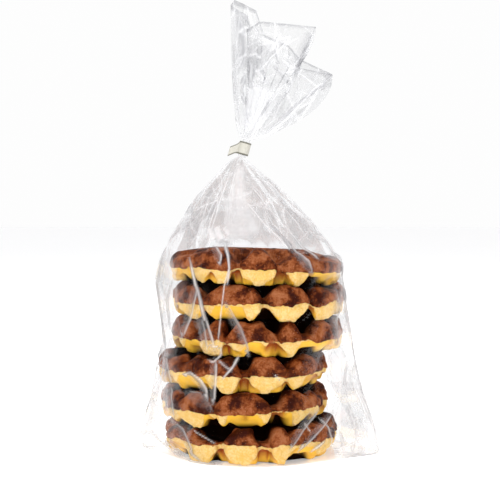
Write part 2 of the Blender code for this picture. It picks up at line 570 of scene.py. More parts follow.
def sub_mesh(mesh: bpy.types.Mesh, keep: np.ndarray) -> bpy.types.Mesh:
    """Copies a mesh without the faces that touch a point not kept.

    Args:
        mesh: the mesh.
        keep: whether each point is kept.

    Returns:
        The copy.
    """
    copy = mesh.copy()
    build = bmesh.new()
    build.from_mesh(copy)
    lost = [vert for vert, kept in zip(build.verts, keep.tolist()) if not kept]
    bmesh.ops.delete(build, geom=lost, context="VERTS")
    build.to_mesh(copy)
    build.free()
    return copy


def add_piece(name: str, mesh: bpy.types.Mesh, material: bpy.types.Material) -> bpy.types.Object:
    """Links a smooth piece that rides on the object's one body.

    Args:
        name: the piece's name.
        mesh: its mesh, in the frame's place.
        material: its finish.

    Returns:
        The piece.
    """
    mesh.name = name
    mesh.materials.clear()
    mesh.materials.append(material)
    mesh.shade_smooth()
    piece = bpy.data.objects.new(name, mesh)
    bpy.context.scene.collection.objects.link(piece)
    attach(piece, BODY)
    log.info("%s: %d faces", name, len(mesh.polygons))
    return piece


# Waffles


@dataclass
class WaffleIron:
    """The sizes that the iron gives every waffle: a grid of ridges with sloping pockets between."""

    thickness: float = 18.8 * MM
    web: float = 2.6 * MM
    pitch: float = 21.0 * MM
    crest: float = 5.0 * MM
    foot: float = 13.6 * MM
    rounding: float = 0.16
    blend: float = 0.10

    def ridge(self, across: np.ndarray) -> np.ndarray:
        """How much of a ridge there is, from 0 to 1.

        Args:
            across: how far across the grid each point is.

        Returns:
            The share of a ridge, rounded at its crest and foot.
        """
        off = np.abs((across + self.pitch / 2) % self.pitch - self.pitch / 2)
        share = (self.foot / 2 - off) / (self.foot / 2 - self.crest / 2)
        soft = self.rounding
        top = 1 - np.clip(1 + soft - share, 0, None) ** 2 / (4 * soft)
        bottom = np.clip(share + soft, 0, None) ** 2 / (4 * soft)
        rounded = np.where(share > 1 - soft, top, share)
        rounded = np.where(share > 1 + soft, 1.0, rounded)
        rounded = np.where(share < soft, bottom, rounded)
        return np.clip(rounded, 0.0, 1.0)

    def grid(self, across: np.ndarray, along: np.ndarray) -> np.ndarray:
        """How far towards a crest the grid stands.

        Args:
            across: how far along one of its directions each point is.
            along: how far along the other.

        Returns:
            The share from 0 at a pocket's floor to 1 on a crest.
        """
        first, second = self.ridge(across), self.ridge(along)
        gap = np.clip(self.blend - np.abs(first - second), 0.0, None)
        return np.clip(np.maximum(first, second) + gap**2 / (4 * self.blend), 0.0, 1.0)


@dataclass(frozen=True)
class FrontEdge:
    """How a waffle's rim stands over its front half, in degrees from its front to its right.

    The upper and the lower rows are pairs of an angle and a share: 0 is the thin web between two
    knobs and 1 a whole knob. The lower half is a smooth slope over the sloped spans, and a pocket
    has no wall behind it at the open angles.
    """

    upper: tuple
    lower: tuple
    sloped: tuple = ()
    open: tuple = ()
    turn_in: float = 3.0
    gap: tuple[float, float] = (5.0, 8.0)

    def share(self, degrees: np.ndarray, upper: bool) -> np.ndarray:
        """The share of a whole knob at angles, on the upper or the lower side."""
        table = np.array(self.upper if upper else self.lower)
        return np.interp(degrees, table[:, 0], table[:, 1])

    def slope(self, degrees: np.ndarray) -> np.ndarray:
        """How much of a smooth slope the lower side is.

        Args:
            degrees: the angles from the front.

        Returns:
            The share from 0 to 1.
        """
        total = np.zeros_like(degrees)
        for first, last in self.sloped:
            rise = smoothstep(first - self.turn_in, first + self.turn_in, degrees)
            fall = smoothstep(last - self.turn_in, last + self.turn_in, degrees)
            total += rise * (1 - fall)
        return np.clip(total, 0.0, 1.0)

    def walled(self, degrees: np.ndarray) -> np.ndarray:
        """Where the lower pockets have a wall behind them.

        Args:
            degrees: the angles from the front.

        Returns:
            The share from 0 to 1.
        """
        total = np.ones_like(degrees)
        for middle in self.open:
            total *= smoothstep(*self.gap, np.abs(degrees - middle))
        return total


@dataclass
class Waffle:
    """One waffle of the stack, in a frame of its own whose middle plane is z = 0."""

    number: int
    middle: tuple[float, float]
    bottom: float
    radius: float
    turn: float
    phase: tuple[float, float]
    tilt: tuple[float, float]
    coat_line: float
    front: FrontEdge
    stretch: float = 1.0
    dome: float = 0.0
    iron: WaffleIron = field(default_factory=WaffleIron)
    reach: float = 4.0 * MM
    lumpiness: float = 1.0 * MM
    fine_lumpiness: float = 0.4 * MM
    rim_inset: float = 1.5 * MM
    lip: float = 2.6 * MM
    slant: float = 3.4 * MM
    hollow: float = 13.0 * MM
    web_width: float = 5.0 * MM
    wall_depth: float = 14.0 * MM
    wall_width: float = 4.5 * MM
    front_end: tuple[float, float] = (80.0, 94.0)
    dome_from: tuple[float, float] = (25.0, 60.0)
    # The rounding of the upper edge, of the lower one, and what a slope adds: its length as a
    # share of half the thickness, and its power.
    upper_edge: tuple[float, float] = (0.75, 2.3)
    lower_edge: tuple[float, float] = (0.36, 2.6)
    slope_edge: tuple[float, float] = (0.75, -1.3)
    # The width of the rough crumb at a web, what a knob and a knob's flat top add, and on a slope.
    crumb_band: tuple[float, float, float] = (0.4 * MM, 1.0 * MM, 4.0 * MM)
    slope_band: float = 0.5 * MM
    # Lumps of the crumb and of the coat over it: their sizes and heights.
    lump_size: float = 4.0 * MM
    lump_height: float = 0.60 * MM
    grain_size: float = 1.8 * MM
    crumb_grain: float = 0.48 * MM
    coat_grain: float = 0.32 * MM
    # The coat's thickness, how far it sinks in at its border, and how far the crumb sinks under it.
    coat: float = 0.75 * MM
    tuck: float = 0.7 * MM
    tuck_in: float = 0.8 * MM
    # How far the coat and the crumb reach past the border, so that they overlap.
    coat_past: float = 1.6 * MM
    crumb_past: float = 2.4 * MM
    # How far inside the rim the painted shade begins and where it is whole.
    painted_shade_from: tuple[float, float] = (3.5 * MM, 11 * MM)
    table_gap: float = 0.3 * MM
    columns: int = 480
    rows: int = 110
    voxel: float = 0.80 * MM

    def grid_at(self, x: np.ndarray, y: np.ndarray) -> np.ndarray:
        """The iron's grid as it lies on this waffle.

        Args:
            x: the points' places from left to right.
            y: their places from front to back.

        Returns:
            The share from 0 at a pocket's floor to 1 on a crest.
        """
        turn = math.radians(self.turn)
        across = x * math.cos(turn) + y * math.sin(turn) - self.phase[0]
        along = -x * math.sin(turn) + y * math.cos(turn) - self.phase[1]
        return self.iron.grid(across / self.stretch, along / self.stretch)

    @staticmethod
    def from_front(angle: np.ndarray) -> np.ndarray:
        """Angles as degrees from the waffle's front, to the right positive."""
        return (np.degrees(angle) + 270.0) % 360.0 - 180.0

    def half_height(self, share: np.ndarray) -> np.ndarray:
        """Half the waffle's thickness for a share of a whole knob."""
        return self.iron.web / 2 + (self.iron.thickness - self.iron.web) / 2 * share

    def even_rim(self, angle: np.ndarray) -> np.ndarray:
        """How far the waffle reaches where it has a knob.

        Args:
            angle: the angles, in radians.

        Returns:
            The distance from its middle.
        """
        circle = np.stack([np.cos(angle), np.sin(angle), np.full_like(angle, self.number)], axis=1)
        lumps = Grain(40 + self.number)
        broad, fine = self.lumpiness * lumps(circle, 0.7), self.fine_lumpiness * lumps(circle, 0.2)
        return self.radius + broad + fine

    def edge_share(self, angle: np.ndarray, upper: bool) -> np.ndarray:
        """The share of a whole knob at the rim: as measured in front, from the grid behind.

        Args:
            angle: the angles, in radians.
            upper: whether it is the upper side's.

        Returns:
            The share from 0 to 1.
        """
        degrees = self.from_front(angle)
        inside = self.even_rim(angle) - self.rim_inset
        behind = self.grid_at(inside * np.cos(angle), inside * np.sin(angle))
        back = smoothstep(*self.front_end, np.abs(degrees))
        return self.front.share(degrees, upper) * (1 - back) + behind * back

    def knob(self, angle: np.ndarray) -> np.ndarray:
        """How much of a knob, above or below, the rim has at an angle, from 0 to 1."""
        upper, lower = (self.edge_share(angle, side) for side in (True, False))
        return smoothstep(0.0, 0.4, np.maximum(upper, lower))

    def rim(self, angle: np.ndarray) -> np.ndarray:
        """How far the waffle reaches at an angle: the dough ran further out along the ridges."""
        return self.even_rim(angle) - self.reach * (1.0 - self.knob(angle))

    def share(self, x: np.ndarray, y: np.ndarray, upper: bool) -> np.ndarray:
        """The share of a whole knob anywhere: the rim's own outside, the iron's grid inside.

        Args:
            x: the points' places from left to right.
            y: their places from front to back.
            upper: whether they are on the upper side.

        Returns:
            The share at each point.
        """
        angle, out = np.arctan2(y, x), np.hypot(x, y)
        off_front = np.abs(self.from_front(angle))
        depth = self.even_rim(angle) - out
        inner = self.grid_at(x, y)
        if not upper:
            wall = np.clip(1.3 - np.abs(depth - self.wall_depth) / self.wall_width, 0.0, 1.0)
            front = 1.0 - smoothstep(*self.front_end, off_front)
            inner = np.maximum(inner, wall * self.front.walled(self.from_front(angle)) * front)
        edge = self.edge_share(angle, upper)
        start = self.lip + self.hollow * (1.0 - edge) * upper
        start = np.maximum(start, self.lip + self.web_width * (1.0 - self.knob(angle)))
        deep = smoothstep(start, start + self.slant, depth)
        share = edge * (1 - deep) + inner * deep
        if upper:
            lowered = self.dome * smoothstep(0.5, 1.0, out / self.radius)
            share = share * (1.0 - lowered * smoothstep(*self.dome_from, off_front))
        return share

    def closed_form(self) -> bpy.types.Mesh:
        """The plain form: both faces, rounded off towards the rim.

        Returns:
            The closed mesh, in the waffle's own frame.
        """
        angle = np.linspace(0, 2 * math.pi, self.columns, endpoint=False)
        rim = self.rim(angle)
        slope = self.front.slope(self.from_front(angle))
        sides = []
        for sign, upper in ((1.0, True), (-1.0, False)):
            length, power = self.upper_edge
            if not upper:
                length = self.lower_edge[0] + self.slope_edge[0] * slope
                power = self.lower_edge[1] + self.slope_edge[1] * slope
            rows = []
            for row in range(1, self.rows + 1):
                out = rim * math.sin(math.pi / 2 * row / self.rows)
                x, y = out * np.cos(angle), out * np.sin(angle)
                height = self.half_height(self.share(x, y, upper))
                edge = np.clip((rim - out) / (length * height), 0.0, 1.0)
                z = sign * height * (1 - (1 - edge) ** power) ** (1 / power)
                rows.append(np.stack([x, y, z], axis=1))
            sides.append(np.array(rows))
        return grid_mesh("form", np.concatenate([sides[0], sides[1][-2::-1]])[::-1], cap_ends=True)

    def in_place(self, points: np.ndarray) -> np.ndarray:
        """Tilts the waffle and sets it in the stack.

        Args:
            points: points of the waffle's own frame.

        Returns:
            Where they are in the stack.
        """
        tilt = Euler((math.radians(self.tilt[0]), math.radians(self.tilt[1]), 0))
        middle = np.array([*self.middle, self.bottom + self.iron.thickness / 2])
        placed = points @ np.array(tilt.to_matrix()).T + middle
        placed[:, 2] = np.maximum(placed[:, 2], self.table_gap)
        return placed

    def roughness(self, share: np.ndarray, slope: np.ndarray, depth: np.ndarray) -> np.ndarray:
        """How rough the crumb is: rough at the rim, and further in on the flat tops of knobs.

        Args:
            share: the share of a whole knob at each point.
            slope: how much of a smooth slope each point is on.
            depth: how far inside the rim each point is.

        Returns:
            The roughness from 0 to 1.
        """
        knob, flat = smoothstep(0.05, 0.35, share), smoothstep(0.85, 0.98, share)
        limit = self.crumb_band[0] + self.crumb_band[1] * knob + self.crumb_band[2] * flat
        limit = limit * (1.0 - slope) + self.slope_band * slope
        return 1.0 - smoothstep(limit * 0.5, limit, depth)

    def lumps(self, points: np.ndarray, noise: Grain, fine: float) -> np.ndarray:
        """The rough crumb's lumps, the finest of which have this height."""
        broad = self.lump_height * noise(points, self.lump_size, 2)
        return broad + fine * noise(points, self.grain_size)

    def build(self, crumb: bpy.types.Material, chocolate: bpy.types.Material) -> np.ndarray:
        """Builds and dresses the waffle and its chocolate coat.

        Args:
            crumb: the waffle's finish.
            chocolate: the coat's finish.

        Returns:
            The points of both.
        """
        mesh = remeshed(self.closed_form(), self.voxel)
        relaxed(mesh, 2)
        points, normals = points_of(mesh), normals_of(mesh)
        x, y, z = points.T
        angle = np.arctan2(y, x)
        depth = self.rim(angle) - np.hypot(x, y)
        share = np.where(z < 0, self.share(x, y, False), self.share(x, y, True))
        rough = self.roughness(share, self.front.slope(self.from_front(angle)) * (z < 0), depth)
        noise = Grain(100 + self.number * 10)
        above = z - self.border(points, noise)
        under = self.tuck_in * smoothstep(0.3 * MM, 1.3 * MM, above)
        even = 0.10 * MM * noise(points, 6.0 * MM) - under
        lumps = self.lumps(points, noise, self.crumb_grain)
        moved = points + normals * (lumps * rough + even)[:, None]
        # Painted shade: how far inside the rim each point is sets how black the finishes paint it; the top
        # waffle's coat gets none.
        inside = smoothstep(*self.painted_shade_from, depth)
        coat, kept = self.coat_mesh(mesh, points, normals, above, rough, noise)
        keep_number(coat, "inside", inside[kept] * (self.number > 1))
        bare = above < self.crumb_past
        body = sub_mesh(mesh, bare)
        bpy.data.meshes.remove(mesh)
        move_points(body, self.in_place(moved[bare]))
        keep_number(body, "crumb", rough[bare])
        keep_number(body, "pocket", 1.0 - share[bare])
        keep_number(body, "inside", inside[bare])
        add_piece(f"waffle_{self.number}", body, crumb)
        add_piece(f"chocolate_{self.number}", coat, chocolate)
        return np.vstack([points_of(body), points_of(coat)])

    def border(self, points: np.ndarray, noise: Grain) -> np.ndarray:
        """The height of the chocolate's lower border near points."""
        wave = 1.2 * MM * noise(points + 1.0, 8.0 * MM, 2)
        return self.coat_line + wave + 0.5 * MM * noise(points, 1.6 * MM)

    def coat_mesh(self, mesh: bpy.types.Mesh, points: np.ndarray, normals: np.ndarray,
                  above: np.ndarray, rough: np.ndarray,
                  noise: Grain) -> tuple[bpy.types.Mesh, np.ndarray]:
        """The chocolate over the upper half, whose uneven lower border tucks into the crumb.

        Args:
            mesh: the waffle's even mesh, in its own frame.
            points: that mesh's points.
            normals: its normals.
            above: how far its points are above the border.
            rough: where its crumb is rough.
            noise: the waffle's noise.

        Returns:
            The coat's mesh, set in the stack, and which of the waffle's points it keeps.
        """
        kept = above > -self.coat_past
        coat = sub_mesh(mesh, kept)
        cover = smoothstep(-0.5 * MM, 0.6 * MM, above)
        lumps = self.lumps(points, noise, self.coat_grain)
        thick = self.coat + 0.12 * MM * noise(points + 2.0, 2.5 * MM, 2)
        off = lumps * rough - self.tuck + cover * (self.tuck + thick)
        move_points(coat, self.in_place((points + normals * off[:, None])[kept]))
        return coat, kept


# Film


def shown(loose: np.ndarray) -> np.ndarray:
    """How much the film shows of its random creases: little where it lies on the waffles."""
    return 0.01 + 0.99 * loose


@dataclass
class Crease:
    """A straight ridge in the film: its two ends on the flattened film, its form and its painted glint."""

    start: tuple[float, float]
    end: tuple[float, float]
    height: float
    left_width: float
    right_width: float
    line: float


@dataclass(frozen=True)
class Fold:
    """A fold in the film's front, as seen from the front.

    The path is a row of (x, z, half width) in millimetres. The veil is how much painted grey
    the fold lays over what lies behind it, the line how white the painted glints on its edges are,
    and the glare how white the painted glare between them is, all from 0 to 1.
    """

    path: tuple
    painted_grey: float
    line: float
    glare: float = 0.0
    soft: float = 0.7 * MM
    line_half: float = 0.88 * MM
    height: float = 0.35 * MM
    wide_from: float = 0.9 * MM
    margin: float = 7 * MM

    def read(self, x: np.ndarray, z: np.ndarray) -> tuple[np.ndarray, np.ndarray, np.ndarray]:
        """How points lie to the fold.

        Args:
            x: the points' places from left to right.
            z: their heights.

        Returns:
            Their distance to the right of the path, the fold's half width, and how it fades.
        """
        path = np.array(self.path) * MM
        off, width, place = np.full(x.size, 1.0), np.full(x.size, MM), np.zeros(x.size)
        lengths = np.hypot(*np.diff(path[:, :2], axis=0).T)
        passed = np.concatenate([[0.0], np.cumsum(lengths)])
        for number, ((ax, az, aw), (bx, bz, bw)) in enumerate(zip(path[:-1], path[1:])):
            run_x, run_z = bx - ax, bz - az
            share = np.clip(((x - ax) * run_x + (z - az) * run_z) / (run_x**2 + run_z**2), 0.0, 1.0)
            gap = np.hypot(x - ax - share * run_x, z - az - share * run_z)
            nearer = gap < np.abs(off)
            width = np.where(nearer, aw + share * (bw - aw), width)
            place = np.where(nearer, passed[number] + share * lengths[number], place)
            off = np.where(nearer, np.where((x - ax) * run_z > (z - az) * run_x, -gap, gap), off)
        fade = smoothstep(0.0, 0.15, np.minimum(place, passed[-1] - place) / passed[-1])
        return off, width * (0.75 + 0.25 * fade), fade


@dataclass
class Sheen:
    """What the film shows at each point: how far it stands off, its painted grey, its painted glints."""

    relief: np.ndarray
    painted_grey: np.ndarray
    line: np.ndarray

    def lay(self, where: np.ndarray, relief: np.ndarray, painted_grey: np.ndarray, line: np.ndarray) -> None:
        """Adds relief at some points, and painted grey and glints where they are stronger.

        Args:
            where: the points' numbers.
            relief: how much further each of them stands off.
            painted_grey: how much painted grey each gets, from 0 to 1.
            line: how white a painted glint makes each, from 0 to 1.
        """
        self.relief[where] += relief
        self.painted_grey[where] = np.maximum(self.painted_grey[where], painted_grey)
        self.line[where] = np.maximum(self.line[where], line)


@dataclass
class Net:
    """Flat facets: a net of triangles over one half of the film, each turned its own way."""

    size: tuple[float, float]
    depth: float
    seed: int
    # How much painted grey a greyed facet gets, how white the painted glints on its edges are, and the share
    # of facets that are greyed.
    painted_grey: float
    line: float
    greyed: float
    edge_width: float = 0.95 * MM
    wander: float = 0.42

    def chance(self, *numbers: int) -> float:
        """A repeatable number from 0 to 1 for an edge or a facet between numbered points."""
        key = min(numbers) * 12.9898 + max(numbers) * 78.233 + sum(numbers) * 3.17 + self.seed
        return (math.sin(key) * 43758.5453) % 1.0

    def knots(self, low: np.ndarray, high: np.ndarray) -> tuple[np.ndarray, np.ndarray]:
        """Draws the net's points over a field.

        Args:
            low: the field's lower left corner.
            high: its upper right corner.

        Returns:
            The points, and how far the film stands off at each.
        """
        random = np.random.default_rng(self.seed)
        columns, rows = (int((high[axis] - low[axis]) / self.size[axis]) + 3 for axis in (0, 1))
        column, row = (part.ravel() for part in np.meshgrid(np.arange(columns), np.arange(rows)))
        places = np.stack([column + 0.5 * (row % 2) - 1.0, row - 1.0], axis=1)
        places = places + random.uniform(-self.wander, self.wander, places.shape)
        return low + places * np.array(self.size), random.normal(0.0, self.depth, len(places))

    def lay(self, sheen: Sheen, where: np.ndarray, place: np.ndarray, loose: np.ndarray) -> None:
        """Lays the net over some of the film's points.

        Args:
            sheen: what the film shows, which this adds to.
            where: the points' numbers.
            place: how far round and up the film each of them is.
            loose: how freely the film hangs at each of them, from 0 to 1.
        """
        knots, offs = self.knots(place.min(axis=0), place.max(axis=0))
        net, _, faces, _, _, _ = delaunay_2d_cdt([Vector(knot) for knot in knots], [], [], 0, 1e-9)
        corners = np.array([tuple(point) for point in net])
        order = np.argsort(place[:, 1], kind="stable")
        heights = place[order, 1]
        for face in faces:
            a, b, c = corners[list(face)]
            area = (b[0] - a[0]) * (c[1] - a[1]) - (c[0] - a[0]) * (b[1] - a[1])
            span = min(a[1], b[1], c[1]), max(a[1], b[1], c[1])
            first, last = np.searchsorted(heights, span)
            chosen = order[first:last]
            x, z = (place[chosen] - a).T
            second = (x * (c[1] - a[1]) - (c[0] - a[0]) * z) / area
            third = ((b[0] - a[0]) * z - x * (b[1] - a[1])) / area
            shares = np.stack([1 - second - third, second, third], axis=1)
            within = (shares >= 0).all(axis=1)
            chosen, shares = chosen[within], shares[within]
            # Painted white glints along random edges, and painted grey on random facets.
            line = np.zeros(chosen.size)
            for corner, (one, other) in enumerate(((1, 2), (2, 0), (0, 1))):
                bright = max(self.chance(face[one], face[other]) - 0.5, 0.0) / 0.5
                length = np.hypot(*(corners[face[one]] - corners[face[other]]))
                off = shares[:, corner] * abs(area) / length
                edge = bright * np.clip(1 - off / self.edge_width, 0.0, 1.0) ** 1.5
                line = np.maximum(line, edge)
            tone = max(self.chance(*face) - 1.0 + self.greyed, 0.0) / self.greyed
            tone = 0.35 + 0.65 * tone if tone > 0 else 0.0
            freedom = shown(loose[chosen])
            sheen.lay(where[chosen], shares @ offs[list(face)], self.painted_grey * tone * freedom,
                      self.line * line * freedom)


